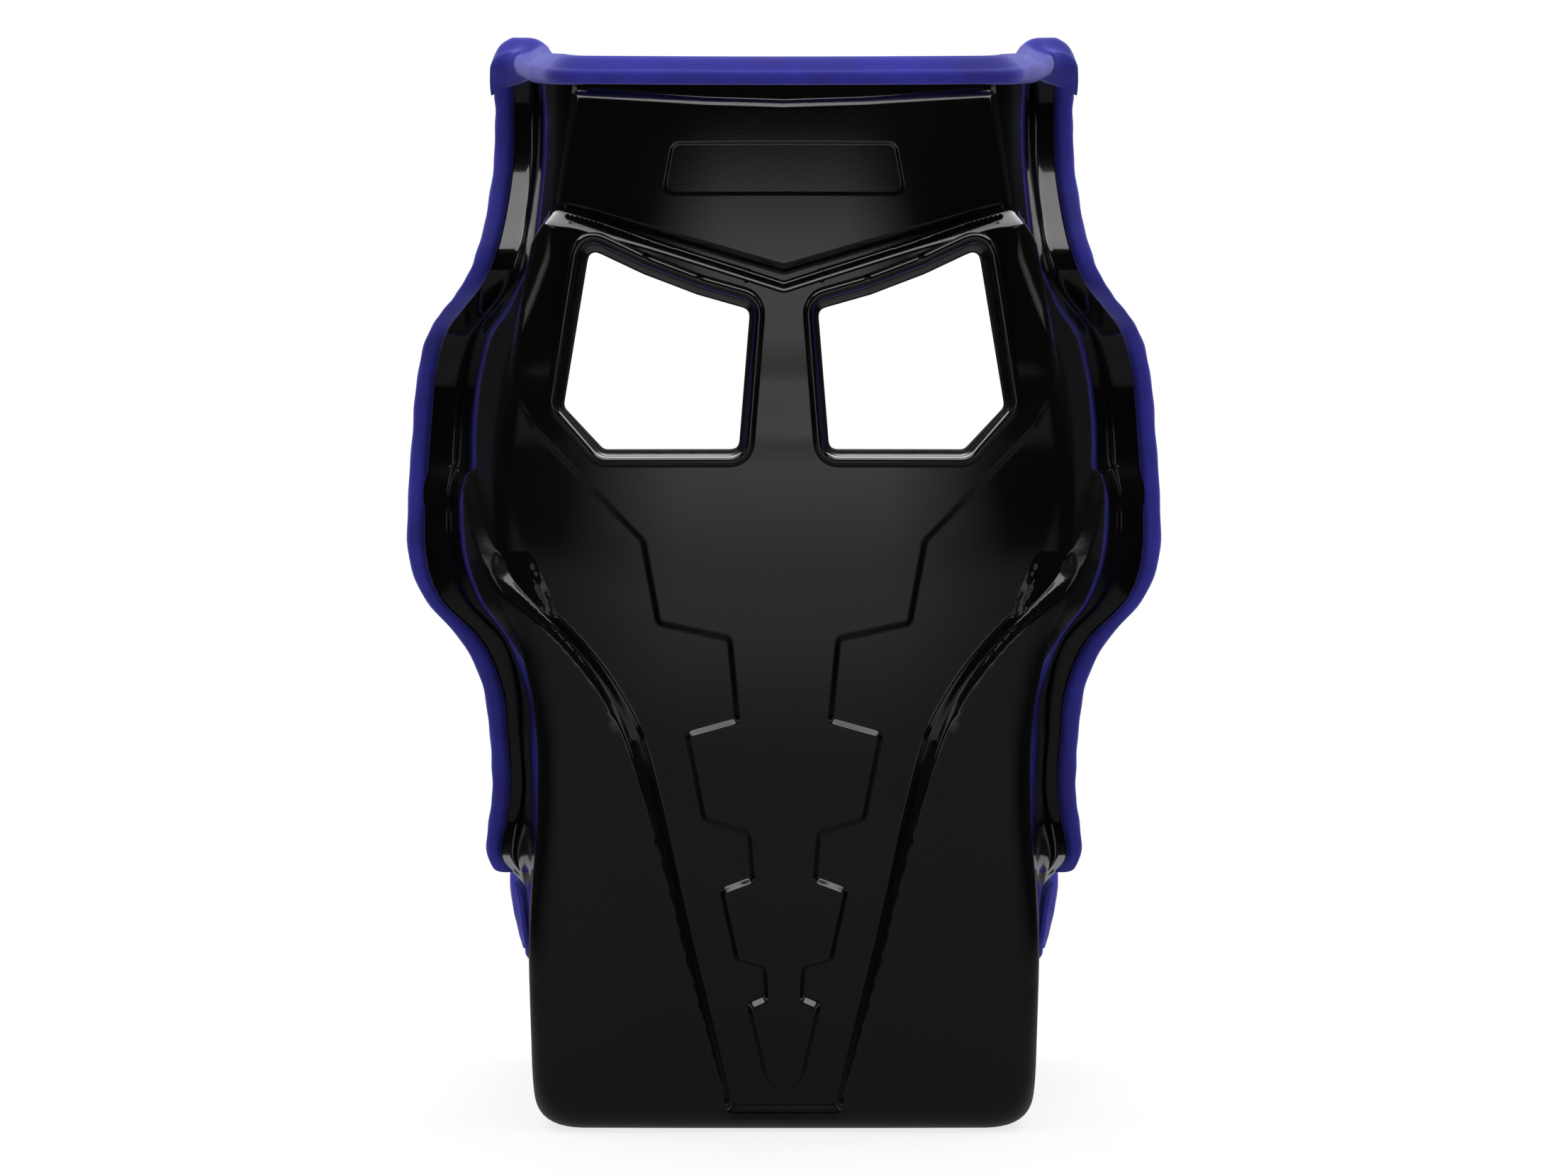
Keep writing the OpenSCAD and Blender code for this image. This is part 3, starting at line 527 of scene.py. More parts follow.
# ---- meshes
@dataclass
class MeshParts:
    """Points in millimetres and faces, gathered from several pieces of one mesh."""

    points: list[Points] = field(default_factory=list)
    faces: Faces = field(default_factory=list)
    count: int = 0

    def add(self, points: Points, faces: Faces) -> "MeshParts":
        """Adds a piece's points and faces and returns the whole."""
        self.faces += [tuple(i + self.count for i in f) for f in faces]
        self.points.append(np.asarray(points, float).reshape(-1, 3))
        self.count += len(self.points[-1])
        return self

    def take(self, other: "MeshParts") -> None:
        """Adds the points and faces of other parts."""
        self.add(join(other.points), other.faces)

    def mirrored(self, side: Side) -> "MeshParts":
        """The same parts for one side of the seat."""
        if side is Side.RIGHT:
            return self
        flipped = [tuple(reversed(f)) for f in self.faces]
        return MeshParts([p * (-1, 1, 1) for p in self.points], flipped, self.count)

    def build(self, name: str, material: Material | None = None) -> Object:
        """Makes the object, which sits at the origin.

        Args:
            name: The piece's name.
            material: Its finish.

        Returns:
            The new object, shaded smooth.
        """
        mesh = bpy.data.meshes.new(name)
        mesh.from_pydata((join(self.points) * MM).tolist(), [], self.faces)
        mesh.validate()
        shade_smooth(mesh)
        if material:
            mesh.materials.append(material)
        return in_scene(name, mesh)


def in_scene(name: str, data: bpy.types.ID) -> Object:
    """A new object in the scene."""
    obj = bpy.data.objects.new(name, data)
    bpy.context.scene.collection.objects.link(obj)
    return obj


def shade_smooth(mesh: Mesh) -> None:
    """Shades every face smooth."""
    mesh.polygons.foreach_set("use_smooth", [True] * len(mesh.polygons))


def grid_faces(rows: int, cols: int, flip: bool = False, start: int = 0, wrap: bool = False) -> Faces:
    """The faces of a grid of points, whose columns may close into a ring.

    Args:
        rows: Its rows.
        cols: Its columns.
        flip: Whether the faces look the other way.
        start: Its first point's number.
        wrap: Whether the columns close.

    Returns:
        The faces.
    """
    made = []
    for i in range(start, start + (rows - 1) * cols, cols):
        for j in range(cols if wrap else cols - 1):
            k = (j + 1) % cols
            f = (i + j, i + k, i + cols + k, i + cols + j)
            made.append(f[::-1] if flip else f)
    return made


def between(back: Points, front: Points) -> MeshParts:
    """A closed solid between two grids of points with the same rows and columns.

    Args:
        back: The first grid.
        front: The second.

    Returns:
        The solid.
    """
    rows, cols = back.shape[:2]
    n = rows * cols
    faces = grid_faces(rows, cols, flip=True) + grid_faces(rows, cols, start=n)
    ring = [*range(cols), *range(2 * cols - 1, n, cols), *range(n - 2, n - cols - 1, -1),
            *range(n - 2 * cols, 0, -cols)]
    faces += [(a, b, n + b, n + a) for a, b in zip(ring, ring[1:] + ring[:1])]
    return MeshParts().add(join([back.reshape(-1, 3), front.reshape(-1, 3)]), faces)


def tube(rings: Points, closed: bool = False) -> MeshParts:
    """A tube through rings of points, with its ends capped unless it closes on itself.

    Args:
        rings: The rings, one after another.
        closed: Whether it closes on itself.

    Returns:
        The tube.
    """
    rows, n = rings.shape[:2]
    faces = grid_faces(rows, n, wrap=True)
    if closed:
        faces += [((rows - 1) * n + k, (rows - 1) * n + (k + 1) % n, (k + 1) % n, k) for k in range(n)]
    else:
        faces += [tuple(range(n))[::-1], tuple(range((rows - 1) * n, rows * n))]
    return MeshParts().add(rings, faces)


def sweep(path: Points, radius: Points, sides: int = 10, closed: bool = False) -> MeshParts:
    """A round tube along a path, with its ends rounded off unless it is closed.

    Args:
        path: The path.
        radius: The tube's radius, one for all or for each point.
        sides: Its sides.
        closed: Whether it is a loop.

    Returns:
        The tube.
    """
    path = np.asarray(path, float)
    radius = np.broadcast_to(radius, len(path)).astype(float)
    along = unit(np.roll(path, -1, 0) - np.roll(path, 1, 0)) if closed else unit(np.gradient(path, axis=0))
    if not closed:
        first, last = radius[0], radius[-1]
        back = [(0.98, 0.2), (0.7, 0.7), (0.3, 0.95)]
        path = join([[path[0] - along[0] * first * a for a, _ in back], path,
                               [path[-1] + along[-1] * last * a for a, _ in back[::-1]]])
        radius = join([[first * b for _, b in back], radius, [last * b for _, b in back[::-1]]])
        along = join([along[:1]] * 3 + [along] + [along[-1:]] * 3)
    side = np.empty_like(path)
    side[0] = unit(np.cross(along[0], (0.3, 0.5, 0.81)))
    for k in range(1, len(path)):
        side[k] = unit(side[k - 1] - along[k] * (side[k - 1] @ along[k]))
    other = np.cross(along, side)
    turn = full_turn(sides)
    rings = (path[:, None] + radius[:, None, None]
             * (side[:, None] * np.cos(turn)[None, :, None] + other[:, None] * np.sin(turn)[None, :, None]))
    return tube(rings, closed)


# ---- what is raised and sunk on the shell's back
@dataclass(frozen=True)
class Outline:
    """A line on the back, as (x, z) in millimetres, that both sides share.

    Attributes:
        half: Its right half from top to bottom.
        corner: Radius of its corners.
    """

    half: tuple[tuple[float, float], ...]
    corner: float

    @cached_property
    def polygon(self) -> Points:
        """The closed outline with its corners rounded."""
        points = np.array(self.half, float)
        other = points[::-1] * (-1, 1)
        return round_corners(join([points, other[other[:, 0] < -1e-6]]), self.corner)

    @cached_property
    def line(self) -> Points:
        """The right half of the rounded outline, from the middle plane where it crosses it.

        Returns:
            Its points, as (x, z).
        """
        points, made = self.polygon, []
        for a, b in zip(points, np.roll(points, -1, 0)):
            if a[0] > -1e-9:
                made.append(a)
            if a[0] * b[0] < -1e-12:
                made.append(a + (b - a) * a[0] / (a[0] - b[0]))
        made = np.array(made)
        made[np.abs(made[:, 0]) < 1e-6, 0] = 0
        on_axis = made[:, 0] == 0
        jump = np.argmax(on_axis & np.roll(on_axis, 1))
        return subdivide(np.roll(made, -jump, 0), 3.6)

    def signed(self, x: Points, z: Points) -> Points:
        """The distance to the outline, below 0 inside it."""
        return distance(self.polygon, x, z)


def grown(points: Points, by: float) -> Points:
    """A closed outline moved outwards, its corners kept."""
    before, after = np.roll(points, 1, 0), np.roll(points, -1, 0)
    n1, n2 = -left_of(unit(points - before)), -left_of(unit(after - points))
    return points + (n1 + n2) / (1 + dot(n1, n2)) * by * np.sign(turned_area(points))


SLOT_CORNERS = np.array([(25.5, 648), (66, 659.3), (107, 674.7), (148.5, 694), (170.5, 575), (139.5, 539),
                         (34.5, 539)], float)


def softened(points: Sequence[tuple[float, float]], passes: int = 3) -> tuple[tuple[float, float], ...]:
    """The line with its corners cut again and again, so that it runs as a smooth curve between its ends.

    Args:
        points: The line's points.
        passes: How often its corners are cut.

    Returns:
        The smooth line.
    """
    line = np.array(points)
    for _ in range(passes):
        line = join([line[:1], np.stack([mix(line[:-1], line[1:], 0.25), mix(line[:-1], line[1:], 0.75)],
                                                  1).reshape(-1, 2), line[-1:]])
    return tuple(map(tuple, line))


@dataclass(frozen=True)
class BackRelief:
    """The forms that are raised or sunk on the shell's outside."""

    plate: Outline = Outline(((0, 796.5), (60, 798.5), (155, 805), (169, 724), (0, 675.5)), 5.0)
    plate_rise: float = 6.0
    plate_step: float = 9.0
    brow: Outline = Outline(((0, 662.5), (158, 712), (174, 716), (186, 700), (206, 600), (214, 500),
                             (0, 500)), 7.0)
    brow_rise: float = 7.0
    brow_end_rise: float = 12.0
    brow_step: float = 9.0
    brow_end_step: float = 14.0
    badge: Outline = Outline(((0, 768), (83, 768), (90, 731), (0, 731)), 7.0)
    badge_rise: float = -0.8
    badge_step: float = 3.0
    spine: Outline = Outline((
        (0, 640), (205, 640), (205, 585), (191.9, 557.9), (108.8, 471.3), (98.2, 407.7), (42.5, 395.6),
        (36.6, 331.3), (76.3, 320.2), (63.3, 252.6), (27.7, 241.4), (24.7, 203.8), (49.3, 194.4),
        (37.2, 137.8), (15.5, 131.5), (13.7, 106.1), (27.9, 99.8), (13.7, 39.3), (6.2, 34.2), (0, 34.2)), 5.0)
    spine_rise: float = 5.2
    spine_step: float = 6.0
    sunk: Outline = Outline(((0, 900), (330, 900), (330, 560)) + softened((
        (243, 530), (238.1, 507.3), (234.3, 489.4), (229, 471.3), (221, 454), (209.5, 440), (192.7, 425.9),
        (169.7, 406.5), (146.8, 380.3), (128.2, 353.4), (114.4, 328.2), (105.5, 301), (92.2, 244.5))) + (
        (74.2, 156.7), (52.9, 68), (43.6, 29.7), (43.7, 17.5), (0, 17.5)), 12.0)
    step_low: float = 6.0
    step_high: float = 15.0
    step_wing: float = 7.0
    hip_rise: float = 9.5

    def sunk_step(self, x: Points, z: Points) -> Points:
        """Width of the step from the sunk panel up to the hips, narrower where it climbs the wing."""
        return mix(mix(self.step_low, self.step_high, smooth(120, 330, z)), self.step_wing, smooth(415, 462, z))

    def brow_width(self, x: Points, z: Points) -> Points:
        """Width of the brow's upper step, wider towards its ends."""
        return mix(self.brow_step, self.brow_end_step, smooth(90, 165, x))

    def depth(self, x: Points, z: Points, on_back: Points) -> Points:
        """The depth of the shell's outside below its bare form, below 0 where it is raised.

        Args:
            x: The places' distances from the middle, as seen from behind.
            z: Their heights.
            on_back: Whether they lie on the back and not on the base.

        Returns:
            The depths, in millimetres.
        """
        x = np.abs(x)
        zc = np.clip(z, 10.0, 960.0)
        away = self.sunk.signed(x, zc)
        rise = ramp((away + 1) / self.sunk_step(x, zc))
        full = FORM.relief_depth(zc) * smooth(12, 18, zc)
        wanted = full * (1 - rise)
        carried = full * (1 - smooth(0, 1, (x - FORM.relief_edge(zc)) / FORM.relief_step)) + FORM.wall - 1.2
        sink = -np.log(np.exp(-wanted) + np.exp(-carried))
        hip = self.hip_rise * smooth(385, 455, zc) * smooth(545, 505, zc) * rise * smooth(70, 0, away)

        def raised(line: Outline, height: Points | float, step: Points | float) -> Points:
            """A raised form's height, with soft steps at its outline."""
            return height * ramp((step / 2 - line.signed(x, zc)) / step)

        brow = mix(self.brow_rise, self.brow_end_rise, smooth(90, 165, x))
        up = (raised(self.plate, self.plate_rise, self.plate_step)
              + raised(self.brow, brow, self.brow_width(x, zc)) * smooth(530, 640, zc)
              + raised(self.badge, self.badge_rise, self.badge_step)
              + raised(self.spine, self.spine_rise, self.spine_step) * smooth(600, 545, zc) + hip)
        return np.where(on_back, sink - up, 0)

    def rows(self) -> list[tuple[Outline, Callable[[Points, Points], Points], float]]:
        """Each outline with its step's width, and how far the step's middle lies outside it."""
        even = [(line, lambda x, z, width=width: width + 0 * x, 0) for line, width in (
            (self.plate, self.plate_step), (self.badge, self.badge_step), (self.spine, self.spine_step))]
        return [even[0], (self.brow, self.brow_width, 0), *even[1:], (self.sunk, self.sunk_step, 1)]


RELIEF = BackRelief()
Surface = Callable[[Points, Points], Points]


def on_skin(u: Points, v: Points, depth: Points | float = 0.0) -> Points:
    """Places at a depth along the section's own normal, so that what is seen from behind stays in place.

    Args:
        u: The places across the section.
        v: The lengths along the side view line.
        depth: The depths towards the occupant.

    Returns:
        The points as (x, y, z).
    """
    st = FORM.station(FORM.s_at(v))
    places = (u, np.minimum(u + 0.02, 7), np.maximum(u - 0.02, 0))
    p, ahead, behind = (FORM.section(st, w, 0, False) for w in places)
    way = unit(st[..., 1:3] - FORM.outline(st[..., 0]))
    run = ahead - behind
    along = unit(np.stack([run[..., 0], (run[..., 1:] * way).sum(-1)], -1))
    normal = left_of(along)
    return p + np.asarray(depth)[..., None] * join([normal[..., :1], normal[..., 1:] * way], -1)


def outside(u: Points, v: Points) -> Points:
    """The shell's outside with all that is raised and sunk on it."""
    bare = on_skin(u, v)
    return on_skin(u, v, RELIEF.depth(bare[..., 0], bare[..., 2], v < FORM.heel_length))


def inner(u: Points, v: Points) -> Points:
    """The shell's inside, on which the padding lies.

    Args:
        u: The places across the section.
        v: The lengths along the side view line.

    Returns:
        The points.
    """
    bare = on_skin(u, v)
    x, z = bare[..., 0], bare[..., 2]
    flat_end = FORM.section(FORM.station(FORM.s_at(v)), 1, 0, False)[..., 0] - 16
    away = (x - np.minimum(FORM.relief_edge(z), flat_end)) / FORM.relief_step
    return on_skin(u, v, FORM.wall + FORM.relief_at(v, z) * (1 - smooth(0, 1, away)))


def surface_normals(surface: Surface, u: Points, v: Points) -> Points:
    """The surface's unit normals towards the occupant, from small steps along it.

    Args:
        surface: Gives the surface's points.
        u: The places across.
        v: The lengths along.

    Returns:
        The normals.
    """
    size = size_of(surface(np.minimum(u + 0.01, 7), v) - surface(np.maximum(u - 0.01, 0), v)) / 0.02
    du = 0.12 / np.maximum(size, 5)
    panel = u < 1
    high_u = np.where(panel, np.minimum(u + du, 1 - 1e-6), np.minimum(u + du, 7))
    low_u = np.where(panel, np.maximum(u - du, 0), np.maximum(u - du, 1 + 1e-6))
    low_u = np.where(panel, np.minimum(low_u, high_u - 1e-5), low_u)
    high_u = np.where(panel, high_u, np.maximum(high_u, low_u + 1e-5))
    dv = 0.12
    low, high = FORM.stations[0, 0], FORM.stations[-1, 0]
    a = surface(high_u, v) - surface(low_u, v)
    b = surface(u, np.minimum(v + dv, high)) - surface(u, np.maximum(v - dv, low))
    n = unit(np.cross(a, b))
    n[u <= 1e-9, 0] = 0
    return unit(n)


@dataclass
class ShellMesh:
    """The mesh of the moulded shell: a free net over the panel and its corners, rows up the walls."""

    back_step: float = 6.0
    base_step: float = 10.0
    inside_steps: tuple[float, float] = (15.0, 18.0)
    ridge_z: tuple[float, float] = (505.0, 330.0)
    ridge_share: float = 0.42
    strap_y: float = 50.0
    plate_top_z: float = 806.0

    def __post_init__(self) -> None:
        """Places the walls' rows and columns and measures the flat pattern."""
        low, high = FORM.stations[0, 0], FORM.stations[-1, 0]
        heel = FORM.heel_length
        turns = [low] + [FORM.at_back(z) for z in (568, 500, 404)] + [0]
        self.v_rows = join([np.linspace(a, b, n, endpoint=False)
                            for a, b, n in zip(turns, turns[1:], (46, 26, 62, 70))]
                           + [np.linspace(0, heel, 13), np.linspace(heel, high, 60)[1:]])
        self.u_cols = join([np.linspace(2, 3, 20), [3.17, 3.33, 3.5, 3.67, 3.83, 4, 4.34, 4.67, 5, 5.2, 5.4,
                                                    5.6, 5.8, 6, 6.5, 7]])
        self.v_table = np.linspace(low, high, 700)
        st = FORM.station(FORM.s_at(self.v_table))
        self.x_table = FORM.section(st, 1, 0, False)[:, 0]
        arc = np.stack([FORM.section(st, k, 0, False) for k in np.linspace(1, 2, 9)])
        self.l_table = size_of(np.diff(arc, axis=0)).sum(0)

    def across(self, v: Points) -> tuple[Points, Points]:
        """The panel's half width and its corner's length at v."""
        return np.interp(v, self.v_table, self.x_table), np.interp(v, self.v_table, self.l_table)

    def to_flat(self, u: Points, v: Points) -> Points:
        """Places as a flat pattern: the distance across and the length along."""
        x_end, arc = self.across(v)
        return np.stack([np.where(u <= 1, u * x_end, x_end + (u - 1) * arc), v], -1)

    def from_flat(self, flat: Points) -> tuple[Points, Points]:
        """The u and v of places in the flat pattern."""
        a, v = flat[..., 0], flat[..., 1]
        x_end, arc = self.across(v)
        return np.where(a <= x_end, a / x_end, 1 + (a - x_end) / arc), v

    def locate(self, x: Points, z: Points) -> Points:
        """The flat places of points given as seen from straight behind.

        Args:
            x: The points' distances from the middle.
            z: Their heights.

        Returns:
            The flat places.
        """
        z = np.maximum(z, 0.5)
        heel = FORM.heel_r * (np.arcsin(np.clip(1 - z / FORM.heel_r, -1, 1)) - math.radians(FORM.lean_low))
        v = np.where(z > FORM.heel_top_z, FORM.heel_top_z - z, heel)
        a = np.asarray(x, float).copy()
        for _ in range(14):
            u, _ = self.from_flat(np.stack([a, v], -1))
            p = on_skin(u, v)
            q = on_skin(np.minimum(u + 0.01, 7), v)
            flat = self.to_flat(np.minimum(u + 0.01, 7), v)[..., 0] - a
            slope = np.clip((q[..., 0] - p[..., 0]) / np.maximum(flat, 1e-6), 0.15, 1.2)
            a = np.maximum(a + 0.9 * (x - p[..., 0]) / slope, 0)
            v = np.clip(v + 0.8 * (p[..., 2] - z), FORM.stations[0, 0], FORM.heel_length - 0.2)
        return np.stack([a, v], -1)

    def slot_loop(self) -> Points:
        """The harness slot's edge in the flat pattern."""
        loop = subdivide(round_corners(grown(SLOT_CORNERS, 4.0), 13, 7), 4.0, closed=True)
        return self.locate(loop[:, 0], loop[:, 1])

    def crotch_line(self) -> Points:
        """The right half of the crotch strap slot's edge in the flat pattern.

        Returns:
            Its points.
        """
        v, w, half = FORM.at_base(self.strap_y), 37.8, 17.8
        corner = [(w - 8 * (1 - math.sin(a)), 8 * (1 - math.cos(a))) for a in np.linspace(0, np.pi / 2, 6)]
        low = [(0, v - half), (w - 8, v - half)] + [(x, v - half + y) for x, y in corner]
        high = [(x, 2 * v - y) for x, y in low[::-1]]
        return subdivide(np.array(low + high), 6.0)

    def on_wall(self, y: Points, z: Points) -> Points:
        """The (u, v) of places on the side wall, given from the side.

        Args:
            y: The places along Y.
            z: Their heights.

        Returns:
            The (u, v) of each.
        """
        cols, rows = np.meshgrid(self.u_cols, self.v_rows)
        known = on_skin(cols.ravel(), rows.ravel())
        first = np.argmin((known[:, 1] - np.mean(y)) ** 2 + (known[:, 2] - np.mean(z)) ** 2
                          + np.where(known[:, 0] < 190, 1e6, 0))
        u, v = np.full(len(y), cols.ravel()[first]), np.full(len(y), rows.ravel()[first])
        goal = np.stack([y, z], -1)
        for _ in range(25):
            p, pu, pv = (on_skin(u + a, v + b)[:, 1:]
                         for a, b in ((0, 0), (0.01, 0), (0, 0.5)))
            turn = np.stack([(pu - p) / 0.01, (pv - p) / 0.5], -1)
            move = np.linalg.solve(turn, (goal - p)[..., None])[..., 0]
            u, v = u + np.clip(move[:, 0], -0.3, 0.3), v + np.clip(move[:, 1], -15, 15)
        return np.stack([u, v], -1)

    def boss_hole(self, y: float) -> tuple[Points, tuple[int, int, int, int]]:
        """The hole for a mounting boss.

        Args:
            y: Its place along the base.

        Returns:
            Its two rings of points as (u, v), and the block of wall cells it takes.
        """
        turn = full_turn(28)
        rings = [self.on_wall(y + r * np.cos(turn), FORM.bolt_z + r * np.sin(turn))
                 for r in (FORM.boss_r + 0.3, 13.0)]
        rings = [ring if turned_area(rings[0]) > 0 else ring[::-1] for ring in rings]
        low, high = rings[1].min(0), rings[1].max(0)
        i0, i1 = np.searchsorted(self.v_rows, (low[1] - 2, high[1] + 2)).tolist()
        j0, j1 = np.searchsorted(self.u_cols, (low[0] - 0.03, high[0] + 0.03)).tolist()
        return join(rings), (i0 - 1, i1, j0 - 1, j1)

    def relief_rows(self) -> Points:
        """Rows of points along the steps of the raised and sunk forms, in the flat pattern.

        Returns:
            All the rows' points, one after another.
        """
        rows = []
        for outline, width, beside in RELIEF.rows():
            sunk = outline is RELIEF.sunk
            line = subdivide(outline.line, 3.0) if sunk else outline.line
            normal = line_normals(line)
            normal[line[:, 0] < 1e-6, 0] = 0
            normal = unit(normal)
            step = width(*line.T)
            for share in np.linspace(-0.7, 0.7, 15 if sunk else 9):
                off = share * step + beside * (step / 2 - 1)
                moved = line + normal * off[:, None]
                true = np.abs(np.abs(outline.signed(*moved.T)) - np.abs(off)) < 0.3 + 0.05 * np.abs(off)
                rows.append(moved[true & (moved[:, 0] >= 0) & (moved[:, 1] < self.plate_top_z)])
        z = np.arange(240.0, 560.0, 3.0)
        rows += [np.stack([FORM.relief_edge(z) + FORM.relief_step * k, z], -1)
                 for k in np.linspace(-0.15, 1.15, 12)]
        flat = self.locate(*join(rows).T)
        flat = flat[(flat[:, 0] < sum(self.across(flat[:, 1])) - 1.5) & (flat[:, 1] > self.v_rows[0] + 1.5)]
        flat[flat[:, 0] < 0.6, 0] = 0
        return flat

    def even_fill(self, fine: bool) -> Points:
        """Staggered points over the panel and its corners, closer together where the ridges climb the wings.

        Args:
            fine: Whether they are for the outside.

        Returns:
            The points in the flat pattern.
        """
        low, high, heel = self.v_rows[0], self.v_rows[-1], FORM.heel_length
        first, last = map(FORM.at_back, self.ridge_z)
        step, wide = (self.back_step, self.base_step) if fine else self.inside_steps
        fill = []
        for start, stop, gap in ((low, first, step), (first, last, step * self.ridge_share), (last, heel, step),
                                 (heel, high, wide)):
            for k, v in enumerate(np.arange(start + gap * 0.7, stop, gap * 0.866)):
                a = np.arange((k % 2) * gap / 2, sum(self.across(v)) - 0.6 * gap, gap)
                fill.append(np.stack([a, np.full_like(a, v)], -1))
        fill = join(fill)
        return fill[(fill[:, 1] > low + 3) & (fill[:, 1] < high - 3)]

    def clear_of_rows(self, fill: Points) -> Points:
        """Drops the points that stand in the way of the rows along the forms' steps.

        Args:
            fill: The points in the flat pattern.

        Returns:
            Those that stay.
        """
        first, last = map(FORM.at_back, self.ridge_z)
        spot = on_skin(*self.from_flat(fill))
        for outline, width, beside in RELIEF.rows():
            on_back = fill[:, 1] < FORM.heel_length
            step = width(spot[:, 0], spot[:, 2])
            away = outline.signed(spot[:, 0], spot[:, 2]) - beside * (step / 2 - 1)
            climbs = (self.from_flat(fill)[0] > 0.8) & (fill[:, 1] > first) & (fill[:, 1] < last)
            kept = ~((np.abs(away) < 0.7 * step + 2) & on_back & ~climbs)
            fill, spot = fill[kept], spot[kept]
        return fill

    def walls(self, uv: Points, index: dict[str, list[int]]) -> tuple[Points, Faces]:
        """The rows up the wall, with a hole for each mounting boss.

        Args:
            uv: The places of the net over the panel.
            index: The chains of points along its edges, to which the wall's own are added.

        Returns:
            All the places, and the wall's faces.
        """
        rows, cols, count = len(self.v_rows), len(self.u_cols), len(uv)
        wall_u, wall_v = np.meshgrid(self.u_cols[1:], self.v_rows)
        uv = join([uv, np.stack([wall_u.ravel(), wall_v.ravel()], -1)])

        def at(i: int, j: int) -> int:
            """The index of a wall's point."""
            return index["edge"][i] if j == 0 else count + i * (cols - 1) + j - 1

        made, blocks = [], []
        for k, y in enumerate((-FORM.bolt_spacing / 2, FORM.bolt_spacing / 2)):
            ring, block = self.boss_hole(y)
            blocks.append(block)
            i0, i1, j0, j1 = block
            around = [at(i0, j) for j in range(j0, j1)] + [at(i, j1) for i in range(i0, i1)]
            around += [at(i1, j) for j in range(j1, j0, -1)] + [at(i, j0) for i in range(i1, i0, -1)]
            first, n, m = len(uv), len(around), len(ring) // 2
            flat = join([uv[around], ring]) * (30.0, 1.0)
            uv = join([uv, ring])
            loops = [(a, (a + 1) % n) for a in range(n)] + [(n + a, n + (a + 1) % m) for a in range(m)]
            names = around + list(range(first, first + 2 * m))
            for f in delaunay_2d_cdt([Vector(p) for p in flat], loops, [], 0, 1e-6)[2]:
                q = flat[list(f)]
                if not inside(flat[n:n + m], *q.mean(0)) and inside(flat[:n], *q.mean(0)):
                    made.append(tuple(names[i] for i in (f if turned_area(q) > 0 else f[::-1])))
            index[f"boss{k}"] = [*range(first + m - 1, first - 1, -1), first + m - 1]
        made += [(at(i, j), at(i, j + 1), at(i + 1, j + 1), at(i + 1, j))
                 for i in range(rows - 1) for j in range(cols - 1)
                 if not any(i0 <= i < i1 and j0 <= j < j1 for i0, i1, j0, j1 in blocks)]
        index["rim"] = [*index["top"], *(at(0, j) for j in range(cols)),
                        *(at(i, cols - 1) for i in range(1, rows)),
                        *(at(rows - 1, j) for j in range(cols - 2, -1, -1)), *index["end"][::-1]]
        return uv, made

    def net(self, fine: bool) -> tuple[Points, Faces, dict[str, list[int]]]:
        """The right half of one skin.

        Args:
            fine: Whether the net follows the raised and sunk forms.

        Returns:
            The places as (u, v), the faces, and the chains of points along each edge.
        """
        low, high = self.v_rows[0], self.v_rows[-1]
        edge = self.to_flat(np.full_like(self.v_rows, 2), self.v_rows)
        row_u = np.linspace(0, 2, 42)[:-1]
        top, end = (self.to_flat(row_u, np.full_like(row_u, v)) for v in (low, high))
        slot, crotch = self.slot_loop(), self.crotch_line()
        chains = {"top": top, "edge": edge, "end": end, "slot": slot, "crotch": crotch}
        fill = self.even_fill(fine)
        if fine:
            fill = join([self.relief_rows(), self.clear_of_rows(fill)])
        for line in (slot, join([crotch, [[0, FORM.at_base(self.strap_y)]]])):
            fill = fill[distance(line, *fill.T) > (1.2 if fine else 5)]
        _, first = np.unique(np.round(fill / 0.45).astype(int), axis=0, return_index=True)
        flat = join([*chains.values(), fill[np.sort(first)]])
        starts = np.cumsum([0] + [len(c) for c in chains.values()]).tolist()
        index = {name: list(range(*starts[k:k + 2])) for k, name in enumerate(chains)}
        fixed = [pair for name in ("top", "edge", "end", "crotch") for pair in zip(index[name], index[name][1:])]
        fixed += list(zip(index["slot"], index["slot"][1:] + index["slot"][:1]))
        fixed += [(index["top"][-1], index["edge"][0]), (index["end"][-1], index["edge"][-1])]
        points, _, faces, origin, _, _ = delaunay_2d_cdt([Vector(p) for p in flat], fixed, [], 0, 1e-5)
        points, tri = np.array([tuple(p) for p in points]), np.array([tuple(f) for f in faces])
        where = {i: k for k, found in enumerate(origin) for i in found}
        crotch_loop = join([crotch, [[-1, crotch[-1, 1]], [-1, crotch[0, 1]]]])
        whole = join([[[-1, low]], top, edge, end[::-1], [[-1, high]]])
        middle = points[tri].mean(1).T
        p0, p1, p2 = (points[tri[:, k]] for k in range(3))
        area = np.cross(p1 - p0, p2 - p0)
        good = inside(whole, *middle) & ~inside(slot, *middle) & ~inside(crotch_loop, *middle)
        good &= np.abs(area) > 1e-4
        tri = np.where((area < 0)[:, None], tri[:, ::-1], tri)[good]
        used = np.unique(join([tri.ravel(), [where[i] for i in index["edge"]]]))
        new = np.full(len(points), -1)
        new[used] = np.arange(len(used))
        index = {name: [int(new[where[i]]) for i in chain] for name, chain in index.items()}
        if turned_area(points[used][index["slot"]]) > 0:
            index["slot"].reverse()
        index["slot"].append(index["slot"][0])
        u, v = self.from_flat(points[used])
        u[index["edge"]] = 2
        uv, wall = self.walls(np.stack([u, v], -1), index)
        return uv, [tuple(f) for f in new[tri].tolist()] + wall, index

